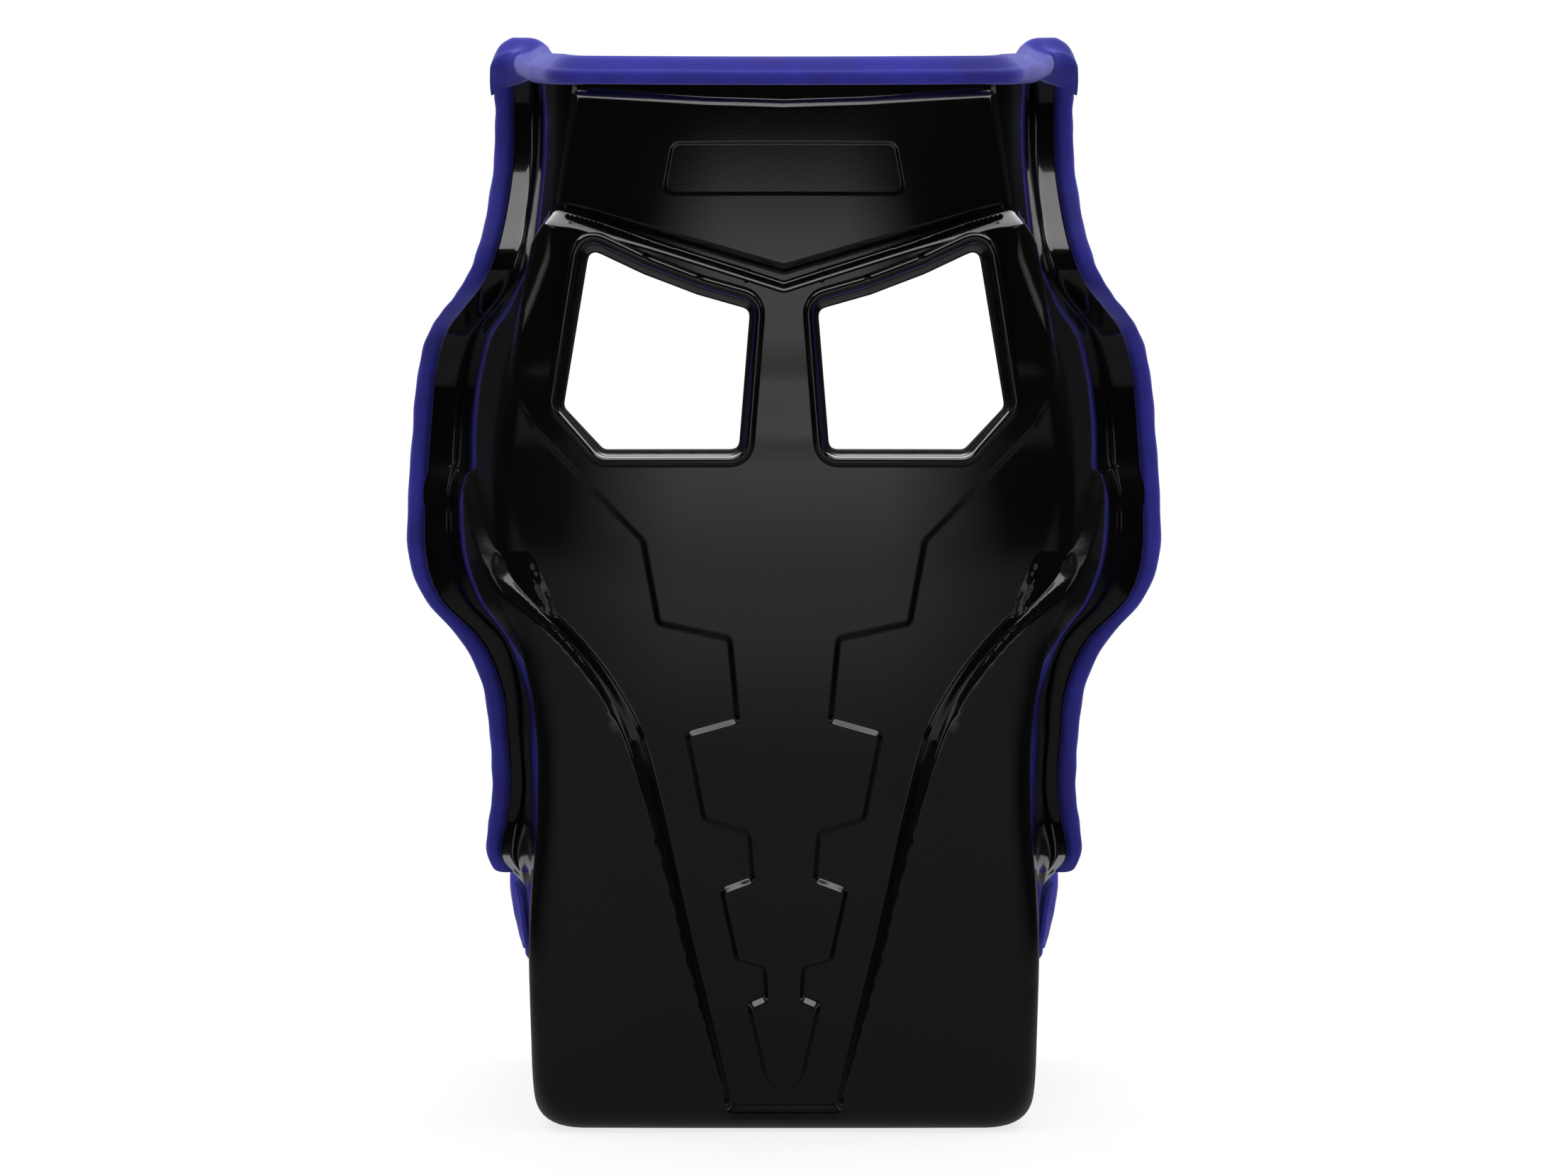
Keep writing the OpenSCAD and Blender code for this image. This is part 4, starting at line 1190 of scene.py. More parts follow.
    def build(self, name: str) -> Object:
        """Makes the shell with exact normals, so that its gloss runs evenly.

        Args:
            name: The piece's name.

        Returns:
            The shell's object.
        """
        skins = []
        for surface, fine in ((outside, True), (inner, False)):
            uv, faces, index = self.net(fine)
            skins.append((surface(*uv.T), surface_normals(surface, *uv.T), faces, index, uv))
            LOG.info("shell skin: %d points, %d faces", len(uv), len(faces))
        faces, owners = [], []
        starts = (0, len(skins[0][0]))
        for k, skin in enumerate(skins):
            faces += [tuple(i + starts[k] for i in (t[::-1] if k == 0 else t)) for t in skin[2]]
            owners += [k] * len(skin[2])
        for chain in ("rim", "slot", "crotch", "boss0", "boss1"):
            o = [i + starts[0] for i in skins[0][3][chain]]
            i = [j + starts[1] for j in skins[1][3][chain]]
            if chain == "crotch":
                o, i = o[::-1], i[::-1]
            quads = [(a, b, d, c) for a, b, c, d in zip(o, o[1:], i, i[1:])]
            faces += quads
            owners += [2] * len(quads)
        p, n = join([skin[0] for skin in skins]), join([-skins[0][1], skins[1][1]])
        count = len(p)
        axis = join([skin[4][:, 0] < 1e-9 for skin in skins])
        p[axis, 0] = 0
        twin = np.where(axis, np.arange(count), 0)
        twin[~axis] = count + np.arange((~axis).sum())
        both, both_n = (join([a, a[~axis] * (-1, 1, 1)]) for a in (p, n))
        faces += [tuple(int(twin[i]) for i in f[::-1]) for f in faces]
        owners += owners
        mesh = bpy.data.meshes.new(name)
        mesh.from_pydata((both * MM).tolist(), [], faces)
        shade_smooth(mesh)
        flat = np.zeros(len(mesh.polygons) * 3)
        mesh.polygons.foreach_get("normal", flat)
        flat = flat.reshape(-1, 3)
        loops = join([np.repeat(flat[k][None], len(f), 0) if owners[k] == 2 else both_n[list(f)]
                                for k, f in enumerate(faces)])
        mesh.normals_split_custom_set(loops.tolist())
        return in_scene(name, mesh)


# ---- finishes
Colour = tuple[float, float, float]
Value = NodeSocket | float | Sequence[float]
WHITE: Colour = (1.0, 1.0, 1.0)


def toned(colour: Colour, times: float, plus: float = 0.0) -> Colour:
    """A colour made lighter or darker."""
    return tuple(min(1.0, c * times + plus) for c in colour)


class NodeNet:
    """Adds nodes to one node tree and links them."""

    def __init__(self, tree: NodeTree) -> None:
        """Starts from a tree."""
        self.tree = tree

    def put(self, node: Node, values: dict[str | int, Value]) -> None:
        """Links or sets a node's inputs.

        Args:
            node: The node.
            values: A socket to link, or a plain value, for each input's name or number.
        """
        for name, value in values.items():
            if isinstance(value, NodeSocket):
                self.tree.links.new(value, node.inputs[name])
            else:
                colour = node.inputs[name].type == "RGBA"
                node.inputs[name].default_value = (*value, 1.0) if colour else value

    def add(self, kind: str, values: dict[str | int, Value] | None = None, **settings: object) -> Node:
        """Adds a node.

        Args:
            kind: The node's type, without its ShaderNode prefix.
            values: Its inputs, as put takes them.
            settings: Its own settings.

        Returns:
            The node.
        """
        node = self.tree.nodes.new(kind if kind.startswith("NodeGroup") else "ShaderNode" + kind)
        for name, value in settings.items():
            setattr(node, name, value)
        self.put(node, values or {})
        return node

    def place(self) -> NodeSocket:
        """The place on the object."""
        return self.add("TexCoord").outputs["Object"]

    def noise(self, at: NodeSocket, scale: Value, detail: float, **more: float) -> NodeSocket:
        """A noise's height at a place."""
        return self.add("TexNoise", {"Vector": at, "Scale": scale, "Detail": detail, **more}).outputs[0]

    def warped(self, scale: float, detail: float, by: float) -> NodeSocket:
        """The place on the object, moved a little by a noise."""
        at = self.place()
        noise = self.add("TexNoise", {"Vector": at, "Scale": scale, "Detail": detail})
        moved = self.add("VectorMath", {0: noise.outputs["Color"], 1: (by,) * 3}, operation="MULTIPLY")
        return self.add("VectorMath", {0: at, 1: moved.outputs[0]}).outputs[0]

    def maths(self, operation: str, a: Value, b: Value = 0.0) -> NodeSocket:
        """Adds a Math node and returns its result."""
        return self.add("Math", {0: a, 1: b}, operation=operation).outputs[0]

    def times(self, a: Value, *more: Value) -> NodeSocket:
        """The product of values."""
        for b in more:
            a = self.maths("MULTIPLY", a, b)
        return a

    def plus(self, a: Value, *more: Value) -> NodeSocket:
        """The sum of values."""
        for b in more:
            a = self.maths("ADD", a, b)
        return a

    def blend(self, share: Value, a: Value, b: Value) -> NodeSocket:
        """Mixes two colours and returns the result."""
        return self.add("Mix", {0: share, 6: a, 7: b}, data_type="RGBA").outputs[2]

    def scaled(self, value: NodeSocket, low: float, high: float, to_low: float = 0.0,
               to_high: float = 1.0) -> NodeSocket:
        """Maps a range of a value onto another, held at its ends."""
        return self.add("MapRange", {0: value, 1: low, 2: high, 3: to_low, 4: to_high}).outputs[0]

    def mixed(self, share: Value, a: Node, b: Node) -> Node:
        """Mixes two shaders."""
        return self.add("MixShader", {0: share, 1: a.outputs[0], 2: b.outputs[0]})

    def relief(self, height: NodeSocket, depth: float) -> NodeSocket:
        """The normal of a fine relief of a real depth in metres."""
        return self.add("Bump", {"Height": height, "Distance": depth, "Strength": 1.0}).outputs[0]


Sockets = dict[str, NodeSocket]


@dataclass(frozen=True)
class Effect:
    """An effect that several finishes share: a node group that is built once.

    Attributes:
        name: The group's name.
        usual: Its inputs and their usual values.
        fill: Adds its nodes and returns what each of its outputs gives.
    """

    name: str
    usual: dict[str, float]
    fill: Callable[[NodeNet, Sockets], Sockets]

    def tree(self) -> NodeTree:
        """The group's tree.

        Returns:
            The tree, made at the first use.
        """
        if self.name in bpy.data.node_groups:
            return bpy.data.node_groups[self.name]
        tree = bpy.data.node_groups.new(self.name, "ShaderNodeTree")
        for key, value in self.usual.items():
            tree.interface.new_socket(key, in_out="INPUT", socket_type="NodeSocketFloat").default_value = value
        net = NodeNet(tree)
        entry = net.add("NodeGroupInput")
        given = self.fill(net, {key: entry.outputs[key] for key in self.usual})
        for key in given:
            tree.interface.new_socket(key, in_out="OUTPUT", socket_type="NodeSocketFloat")
        net.add("NodeGroupOutput", given)
        return tree

    def on(self, net: NodeNet, **values: float) -> Sockets:
        """Places the effect with its own values, with _ for a blank in their names."""
        named = {key.replace("_", " "): value for key, value in values.items()}
        return net.add("Group", named, node_tree=self.tree()).outputs


def fill_grain(net: NodeNet, give: Sockets) -> Sockets:
    """Fine moulded grain over slow waves, as a height and a mask."""
    at = net.place()
    slow = net.noise(at, give["Wave scale"], 1.0)
    fine = net.noise(at, give["Scale"], 4.0)
    return {"Height": net.plus(fine, net.times(slow, give["Waves"])), "Mask": net.scaled(slow, 0.35, 0.68)}


def fill_nap(net: NodeNet, give: Sockets) -> Sockets:
    """Brushed microfibre: short fuzz, and patches where the nap lies another way."""
    at = net.warped(60.0, 2.0, 0.006)
    fuzz = net.noise(at, give["Fuzz scale"], 5.0, Roughness=0.7)
    patch = net.noise(at, give["Patch scale"], 3.0)
    return {"Height": fuzz, "Patches": net.scaled(patch, 0.35, 0.65), "Fuzz": net.scaled(fuzz, 0.3, 0.7)}


def fill_knit(net: NodeNet, give: Sockets) -> Sockets:
    """A spacer knit: small loops on a lattice that looks alike from every side.

    Args:
        net: The group's nodes.
        give: The group's inputs, by name.

    Returns:
        The group's outputs, by name.
    """
    apart = net.add("SeparateXYZ", {0: net.warped(90.0, 1.0, 0.0012)})
    turn = net.maths("DIVIDE", 2 * math.pi, give["Loop"])
    waves = [net.maths("SINE", net.times(part, turn)) for part in apart.outputs]
    loops = net.plus(net.times(*waves, 1.4), net.times(net.plus(*waves), 0.25))
    return {"Height": loops, "Loops": net.scaled(loops, -0.8, 0.9)}


def fill_dust(net: NodeNet, give: Sockets) -> Sockets:
    """A trace of dust that settles on what faces up."""
    up = net.add("SeparateXYZ", {0: net.add("NewGeometry").outputs["Normal"]}).outputs[2]
    specks = net.noise(net.place(), give["Scale"], 6.0, Roughness=0.75)
    return {"Mask": net.times(net.scaled(up, 0.1, 0.9), net.scaled(specks, 0.48, 0.75), give["Amount"])}


GRAIN = Effect("grain", {"Scale": 900.0, "Wave scale": 9.0, "Waves": 6.0}, fill_grain)
NAP = Effect("nap", {"Fuzz scale": 2200.0, "Patch scale": 26.0}, fill_nap)
WEAVE = Effect("knit", {"Loop": 0.0032}, fill_knit)
DUST = Effect("dust", {"Scale": 140.0, "Amount": 0.5}, fill_dust)


@dataclass(frozen=True)
class Finish:
    """What every finish has: a name, the record's material slot, and its material, made once."""

    name: str
    slot: str

    def material(self) -> Material:
        """The finish's Blender material.

        Returns:
            The material, made at the first use.
        """
        found = bpy.data.materials.get(self.name)
        if not found:
            found = bpy.data.materials.new(self.name)
            found.use_nodes = True
            net = NodeNet(found.node_tree)
            net.put(found.node_tree.nodes["Principled BSDF"], self.surface(net))
        return found

    def surface(self, net: NodeNet) -> dict[str, Value]:
        """Adds the finish's own nodes.

        Args:
            net: The material's nodes.

        Returns:
            What each of the surface's inputs gets.
        """
        raise NotImplementedError


@dataclass(frozen=True)
class GlossFinish(Finish):
    """Black gloss plastic with faint moulding waves, a little dust and uneven polish."""

    colour: Colour = (0.0016, 0.0016, 0.0017)
    smoothest: float = 0.07
    roughest: float = 0.16
    dust: float = 0.05
    waves: float = 0.00003

    def surface(self, net: NodeNet) -> dict[str, Value]:
        """What each of the surface's inputs gets.

        Args:
            net: The material's nodes.

        Returns:
            The values and sockets, by input.
        """
        grain = GRAIN.on(net, Scale=700.0, Wave_scale=7.0, Waves=10.0)
        dust = DUST.on(net, Scale=160.0, Amount=self.dust)
        tone = net.blend(grain["Mask"], self.colour, toned(self.colour, 1.25))
        rough = net.scaled(grain["Mask"], 0, 1, self.smoothest, self.roughest)
        return {"Base Color": net.blend(dust["Mask"], tone, (0.08, 0.08, 0.078)),
                "Roughness": net.plus(rough, net.times(dust["Mask"], 1.5)),
                "Coat Weight": 0.85, "Coat Roughness": 0.05, "Normal": net.relief(grain["Height"], self.waves)}


@dataclass(frozen=True)
class MicrofibreFinish(Finish):
    """Brushed microfibre with a soft sheen."""

    colour: Colour = (0.0165, 0.0145, 0.2)
    brushed: Colour = (0.028, 0.026, 0.29)
    sheen: float = 0.55
    sheen_colour: Colour = (0.5, 0.5, 1.0)
    fuzz: float = 0.00012

    def surface(self, net: NodeNet) -> dict[str, Value]:
        """What each of the surface's inputs gets.

        Args:
            net: The material's nodes.

        Returns:
            The values and sockets, by input.
        """
        nap = NAP.on(net)
        dust = DUST.on(net, Scale=300.0, Amount=0.03)
        tone = net.blend(nap["Patches"], self.colour, self.brushed)
        dark = net.blend(net.times(nap["Fuzz"], 0.35), tone, toned(self.colour, 0.45))
        return {"Base Color": net.blend(dust["Mask"], dark, (0.2, 0.2, 0.22)),
                "Roughness": net.scaled(nap["Patches"], 0, 1, 0.78, 0.92),
                "Sheen Weight": self.sheen, "Sheen Roughness": 0.35, "Sheen Tint": self.sheen_colour,
                "Specular IOR Level": 0.25, "Normal": net.relief(nap["Height"], self.fuzz)}


@dataclass(frozen=True)
class KnitFinish(Finish):
    """Black knitted fabric with small loops."""

    colour: Colour = (0.011, 0.011, 0.012)
    raised: Colour = (0.03, 0.03, 0.032)
    loop: float = 0.0032
    depth: float = 0.00035

    def surface(self, net: NodeNet) -> dict[str, Value]:
        """What each of the surface's inputs gets.

        Args:
            net: The material's nodes.

        Returns:
            The values and sockets, by input.
        """
        knit = WEAVE.on(net, Loop=self.loop)
        nap = NAP.on(net, Fuzz_scale=3000.0, Patch_scale=18.0)
        dust = DUST.on(net, Scale=240.0, Amount=0.06)
        tone = net.blend(knit["Loops"], self.colour, self.raised)
        worn = net.blend(net.times(nap["Patches"], 0.3), tone, self.raised)
        height = net.plus(knit["Height"], net.times(nap["Height"], 0.5))
        return {"Base Color": net.blend(dust["Mask"], worn, (0.16, 0.16, 0.155)),
                "Roughness": net.scaled(knit["Loops"], 0, 1, 0.95, 0.72),
                "Sheen Weight": 0.25, "Sheen Roughness": 0.4, "Specular IOR Level": 0.3,
                "Normal": net.relief(height, self.depth)}


@dataclass(frozen=True)
class ThreadFinish(Finish):
    """Twisted sewing thread or piping cord cover."""

    colour: Colour

    def surface(self, net: NodeNet) -> dict[str, Value]:
        """What each of the surface's inputs gets.

        Args:
            net: The material's nodes.

        Returns:
            The values and sockets, by input.
        """
        nap = NAP.on(net, Fuzz_scale=1500.0, Patch_scale=120.0)
        return {"Base Color": net.blend(nap["Patches"], self.colour, toned(self.colour, 1.7, 0.004)),
                "Roughness": net.scaled(nap["Fuzz"], 0, 1, 0.5, 0.75),
                "Normal": net.relief(nap["Height"], 0.00015)}


@dataclass(frozen=True)
class LoopTapeFinish(Finish):
    """The fuzzy side of hook-and-loop tape."""

    colour: Colour = (0.014, 0.014, 0.015)

    def surface(self, net: NodeNet) -> dict[str, Value]:
        """What each of the surface's inputs gets.

        Args:
            net: The material's nodes.

        Returns:
            The values and sockets, by input.
        """
        knit = WEAVE.on(net, Loop=0.0016)
        nap = NAP.on(net, Fuzz_scale=1300.0, Patch_scale=200.0)
        tone = net.blend(nap["Fuzz"], self.colour, (0.05, 0.05, 0.052))
        return {"Base Color": net.blend(knit["Loops"], (0.006,) * 3, tone),
                "Roughness": net.scaled(knit["Loops"], 0, 1, 0.98, 0.8),
                "Normal": net.relief(net.plus(nap["Height"], knit["Height"]), 0.0004)}


@dataclass(frozen=True)
class SteelFinish(Finish):
    """Zinc-plated steel, brushed along its length."""

    colour: Colour = (0.5, 0.51, 0.53)

    def surface(self, net: NodeNet) -> dict[str, Value]:
        """What each of the surface's inputs gets."""
        along = net.add("Mapping", {"Vector": net.place(), "Scale": (1.0, 0.03, 1.0)}).outputs[0]
        brushed = net.noise(along, 900.0, 4.0)
        grain = GRAIN.on(net, Scale=400.0, Wave_scale=60.0, Waves=0.5)
        return {"Base Color": net.blend(grain["Mask"], self.colour, (0.62, 0.6, 0.56)), "Metallic": 1.0,
                "Roughness": net.scaled(brushed, 0.3, 0.7, 0.22, 0.42), "Normal": net.relief(brushed, 0.00002)}


GLOSS = GlossFinish("gloss_shell", "shell_gloss")
TRIM_GLOSS = GlossFinish("gloss_trim", "trim_plastic", smoothest=0.1, roughest=0.2)
SATIN = GlossFinish("satin_plastic", "trim_plastic", colour=(0.014, 0.014, 0.015), smoothest=0.3, roughest=0.42,
                    waves=0.00006)
BLUE = MicrofibreFinish("blue_microfibre", "fabric_blue")
KNIT = KnitFinish("black_knit", "fabric_black")
LINER = KnitFinish("black_liner", "fabric_black", loop=0.0022, depth=0.0002, raised=(0.02, 0.02, 0.021))
PIPING = ThreadFinish("black_piping", "fabric_black", colour=(0.012, 0.012, 0.013))
BLUE_PIPING = ThreadFinish("blue_piping", "fabric_blue", colour=(0.02, 0.018, 0.22))
THREAD = ThreadFinish("blue_thread", "fabric_blue", colour=(0.05, 0.05, 0.36))
DARK_THREAD = ThreadFinish("dark_thread", "fabric_black", colour=(0.03, 0.03, 0.032))
LOOP_TAPE = LoopTapeFinish("loop_tape", "hook_and_loop")
STEEL = SteelFinish("zinc_steel", "mount_steel")


def dress(obj: Object, finish: Finish, body: str = "root", *nodes: str) -> Object:
    """Gives a piece its finish, body and the CAD nodes that it stands for.

    Args:
        obj: The piece.
        finish: Its finish.
        body: The CAD body that it rides on.
        nodes: The CAD nodes that it replaces.

    Returns:
        The piece.
    """
    if not obj.data.materials:
        obj.data.materials.append(finish.material())
    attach(obj, body)
    if nodes:
        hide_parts(*nodes)
    LOG.info("piece %s rides on %s", obj.name, body)
    return obj


def soft(obj: Object, finish: Finish, fill: float, node: str, body: str = "root") -> None:
    """Dresses a padded cover that stands for a CAD node."""
    dress(obj, finish, body, node)


# ---- padding
S_HEAD, S_NECK, S_RIBS, S_WING_END, S_PANEL_END, S_THIGHS, S_FRONT = 0.25, 5.5, 13.5, 19.5, 20.5, 25.0, 32.5
SEAM = 0.07
Depth = Callable[[Points, Points], Points]


def ends(s: Points, first: float, last: float, thin: float) -> Points:
    """A share of thickness that falls off towards both ends of a pad."""
    share = (s - first) / (last - first)
    return mix(thin, 1.0, smooth(0, 0.22, share) * smooth(1, 0.78, share))


def steady(depth: float) -> Depth:
    """The same depth everywhere."""
    return lambda s, u: depth + 0.0 * s


def over_plate(base: float) -> Depth:
    """The depth of a pad's back, which clears the side's mounting plate.

    Args:
        base: The depth away from the plate.

    Returns:
        The depth at a station and place.
    """
    def depth(s: Points, u: Points) -> Points:
        """The depth at a place."""
        p = FORM.place(s, u, base)
        near = smooth(174, 168, np.abs(p[..., 1])) * smooth(22.5, 18.5, np.abs(p[..., 2] - FORM.bolt_z))
        return base + 4.6 * near
    return depth


@dataclass(frozen=True)
class PadForm:
    """A pad between two stations and two places across the section.

    Attributes:
        s: Its first and last station.
        u: Its first and last place across the section.
        thick: Its thickness over the usual depth of the padding.
        back: Depth of its back.
        edge: Radius of its rounded edges, in millimetres.
        step: Spacing of its mesh, in millimetres.
        channel: Depth of the sewn channels at a place, in millimetres.
    """

    s: tuple[float, float]
    u: tuple[float, float]
    thick: Depth
    back: Depth = steady(FORM.pad_back)
    edge: float = 9.0
    step: float = 6.0
    channel: Depth = steady(0.0)

    def shares(self) -> tuple[Points, Points]:
        """The rows' stations and the columns' places across.

        Returns:
            The stations and the places.
        """
        line_s, line_u = np.linspace(self.s[0] + SEAM, self.s[1] - SEAM, 80), np.linspace(*self.u, 80)
        middle_u = max(self.u[0], 0.0) * 0.5 + self.u[1] * 0.5
        made = []
        for line, s, u in ((line_s, line_s, middle_u), (line_u, line_s.mean(), line_u)):
            run = run_along(FORM.place(s, u, FORM.pad_back + 8))
            made.append(np.interp(spread(run[-1], self.step, self.edge) * run[-1], run, line))
        return made[0], made[1]

    def crown(self, s: Points, u: Points) -> Points:
        """The depth of the front away from the rounded edges, with its sewn channels."""
        p = FORM.place(s, u, FORM.pad_back + 10.0)
        full = np.maximum(FORM.pad_back + self.thick(s, u), self.back(s, u) + 2.5)
        return full - self.channel(p[..., 0], p[..., 2])

    def parts(self) -> MeshParts:
        """The pad's mesh, on the right side or across the middle.

        Returns:
            The mesh.
        """
        rows, cols = self.shares()
        s, u = np.meshgrid(rows, cols, indexing="ij")
        low = self.back(s, u)
        back = FORM.place(s, u, low)
        down, over = (np.cumsum(size_of(np.diff(back, axis=k)), k) for k in (0, 1))
        down = join([np.zeros((1, s.shape[1])), down])
        over = join([np.zeros((s.shape[0], 1)), over], 1)
        near = [np.clip(1 - np.minimum(e, whole - e) / self.edge, 0, 1)
                for e, whole in ((down, down[-1:]), (over, over[:, -1:]))]
        round_off = np.sqrt(np.clip(1 - np.clip(near[0] ** 2 + near[1] ** 2, 0, 1), 0, 1))
        thick = self.crown(s, u) - low
        return between(back, FORM.place(s, u, low + thick * (0.12 + 0.88 * round_off)))


def stitches(path: Points, normal: Points, size: float = 4.6, gap: float = 2.6,
             radius: float = 0.55) -> MeshParts:
    """A row of stitches.

    Args:
        path: The line that the needle follows.
        normal: The way out of the fabric at each of its points.
        size: A stitch's length.
        gap: The fabric between two stitches.
        radius: The thread's radius.

    Returns:
        The stitches.
    """
    run = run_along(path)
    made = MeshParts()
    for start in np.arange(gap, run[-1] - size, size + gap):
        at = start + size * np.array([0, 0.2, 0.5, 0.8, 1.0])
        line, out = (np.stack([np.interp(at, run, a[:, k]) for k in range(3)], -1) for a in (path, normal))
        lift = np.array([-0.5, 0.25, 0.45, 0.25, -0.5])[:, None]
        made.take(sweep(line + unit(out) * lift, radius, 6))
    return made


@dataclass(frozen=True)
class Bolsters:
    """The padding along the wings: head, shoulders, ribs, hips and thighs, one of each a side."""

    zones: tuple = (
        ("head_wing_pad", S_HEAD, S_NECK, 18, 13, True), ("shoulder_bolster", S_NECK, S_RIBS, 20, 13, True),
        ("rib_bolster", S_RIBS, S_WING_END, 30, 13, True), ("hip_pad", S_WING_END, S_THIGHS, 15, 6, False),
        ("thigh_bolster", S_THIGHS, S_FRONT, 26, 13, True))
    piping_u: tuple[float, float] = (1.95, 5.75)

    def form(self, first: float, last: float, wall_t: float, lip_t: float, over: bool) -> PadForm:
        """One side pad, thickest on the wall.

        Args:
            first: Its first station.
            last: Its last station.
            wall_t: Its thickness on the wall.
            lip_t: Its thickness at the lip.
            over: Whether it lies over a mounting plate.

        Returns:
            The pad.
        """
        def thick(s: Points, u: Points) -> Points:
            """The thickness at a place."""
            wall = wall_t * ends(s, first, last, 0.6)
            return mix(wall, lip_t, smooth(5, 7, u)) * mix(0.5, 1.0, smooth(1.2, 2, u))
        base = FORM.pad_back + 0.5
        return PadForm((first, last), (1.2, 7), thick, over_plate(base) if over else steady(base))

    def seam(self, form: PadForm, u: float, beside: float = 0.0) -> tuple[Points, Points]:
        """A line along the pad's front, and the way out of the fabric there."""
        s = np.linspace(form.s[0] + 0.35, form.s[1] - 0.35, 90)
        p, q = (FORM.place(s, w, form.crown(s, np.full(90, w))) for w in (u, u + 0.05))
        normal = unit(np.cross(np.gradient(p, axis=0), q - p))
        return p + unit(q - p) * beside, normal

    def build(self) -> None:
        """Makes and dresses every side pad with its piping and stitches."""
        for name, first, last, wall_t, lip_t, blue in self.zones:
            form = self.form(first, last, wall_t, lip_t, name in ("hip_pad", "thigh_bolster"))
            sewn, cord = MeshParts(), MeshParts()
            for u in self.piping_u:
                line, normal = self.seam(form, u)
                facing = np.sign(dot(normal, FORM.place(np.linspace(*form.s, 90), u, 60.0) - line).mean())
                cord.take(sweep(line + normal * facing * 0.4, 2.1, 9))
                for beside in (-5.0, 5.0):
                    path, out = self.seam(form, u, beside)
                    sewn.take(stitches(path, out * facing))
            for side in Side:
                node = f"{name}_{side.word}"
                pad = form.parts().mirrored(side).build(f"{node}_cover")
                if name == "shoulder_bolster":
                    SlotCut().open_up(pad, (side,))
                soft(pad, BLUE if blue else KNIT, 0.9 if blue else 0.7, node)
                dress(cord.mirrored(side).build(f"{node}_piping"), PIPING if blue else BLUE_PIPING)
                dress(sewn.mirrored(side).build(f"{node}_stitches"), THREAD if blue else DARK_THREAD)


@dataclass(frozen=True)
class SlotCut:
    """Opens the padding for the harness slots."""

    clear: float = 2.8
    sill_z: float = 560.0

    def loop(self, grow: float, sill: float = 0.0) -> Points:
        """The opening's outline, as (x, z), with its lower edge raised by a sill."""
        corners = grown(SLOT_CORNERS, grow)
        corners[corners[:, 1] < self.sill_z, 1] += sill
        return subdivide(round_corners(corners, 10, 7), 5.0, closed=True)

    def open_up(self, pad: Object, sides: Iterable[Side]) -> None:
        """Cuts the openings through a pad.

        Args:
            pad: The pad.
            sides: The sides whose slots pass through it.
        """
        tools = MeshParts()
        for side in sides:
            rings = np.array([[(x, y, z) for x, z in self.loop(self.clear)] for y in (-450.0, -150.0)])
            tools.take(tube(rings).mirrored(side))
        cut(pad, tools)


def settle(obj: Object) -> None:
    """Applies an object's modifiers to its mesh."""
    seen = obj.evaluated_get(bpy.context.evaluated_depsgraph_get())
    made = bpy.data.meshes.new_from_object(seen)
    obj.modifiers.clear()
    obj.data = made


def cut(pad: Object, tools: MeshParts) -> None:
    """Cuts openings through a pad and keeps their edges sharp.

    Args:
        pad: The pad.
        tools: The solids of the openings.
    """
    tool = tools.build("cutter")
    change = pad.modifiers.new("openings", "BOOLEAN")
    change.operation, change.object, change.solver = "DIFFERENCE", tool, "EXACT"
    settle(pad)
    bpy.data.objects.remove(tool)
    pad.data.set_sharp_from_angle(angle=math.radians(50))


@dataclass(frozen=True)
class CentrePads:
    """The pads over the centre panel: head, back and the liner on the base."""

    back_seams: tuple[float, ...] = (520.0, 486.0, 452.0, 418.0, 384.0)
    head_seams: tuple[float, ...] = (55.0, 110.0)

    def head_channel(self, x: Points, z: Points) -> Points:
        """The head pad's upright channels."""
        return sum(3.6 * np.exp(-((np.abs(x) - seam) / 3.2) ** 2) for seam in self.head_seams)

    def back_channel(self, x: Points, z: Points) -> Points:
        """The back pad's sewn channels: level ones that bow down, and one on each side."""
        inner = smooth(152, 146, np.abs(x))
        level = sum(np.exp(-((z - seam - 0.0006 * x * x) / 2.8) ** 2) for seam in self.back_seams) * inner
        side = np.exp(-((np.abs(x) - 150) / 2.8) ** 2) * smooth(200, 230, z) * smooth(536, 530, z)
        return 3.4 * np.maximum(level, side)

    def build(self) -> None:
        """Makes and dresses them."""
        def head(s: Points, u: Points) -> Points:
            """The head pad's thickness."""
            return 24 * ends(s, S_HEAD, S_NECK - 1, 0.25) * (1 - 0.4 * smooth(0.7, 1, np.abs(u)))

        across = (-1.06, 1.06)
        head_form = PadForm((S_HEAD, S_NECK - 1), across, head, edge=11, step=3.5, channel=self.head_channel)
        back_form = PadForm((S_NECK - 1, S_PANEL_END), across, steady(14.0), edge=6, step=3.6,
                            channel=self.back_channel)
        liner_form = PadForm((S_PANEL_END, S_FRONT), across, steady(5.0), edge=2.5, step=6)
        soft(head_form.parts().build("head_pad_cover"), BLUE, 0.85, "head_pad")
        back = back_form.parts().build("back_pad_cover")
        SlotCut().open_up(back, Side)
        soft(back, KNIT, 0.7, "back_pad")
        liner = liner_form.parts().build("seat_liner_cover")
        CrotchGuide().open_up(liner)
        soft(liner, LINER, 0.5, "seat_liner")
        self.slot_binding()

    def slot_binding(self) -> None:
        """The bound edge round each slot's opening in the back pad."""
        line = SlotCut().loop(2.0, 3.0)
        y = FORM.back_y(line[:, 1]) + FORM.crown * (line[:, 0] / 215) ** 2 + 24.5
        path = np.stack([line[:, 0], y, line[:, 1]], -1)
        for side in Side:
            binding = sweep(path, 2.6, closed=True).mirrored(side)
            dress(binding.build(f"slot_binding_{side.word}"), PIPING)


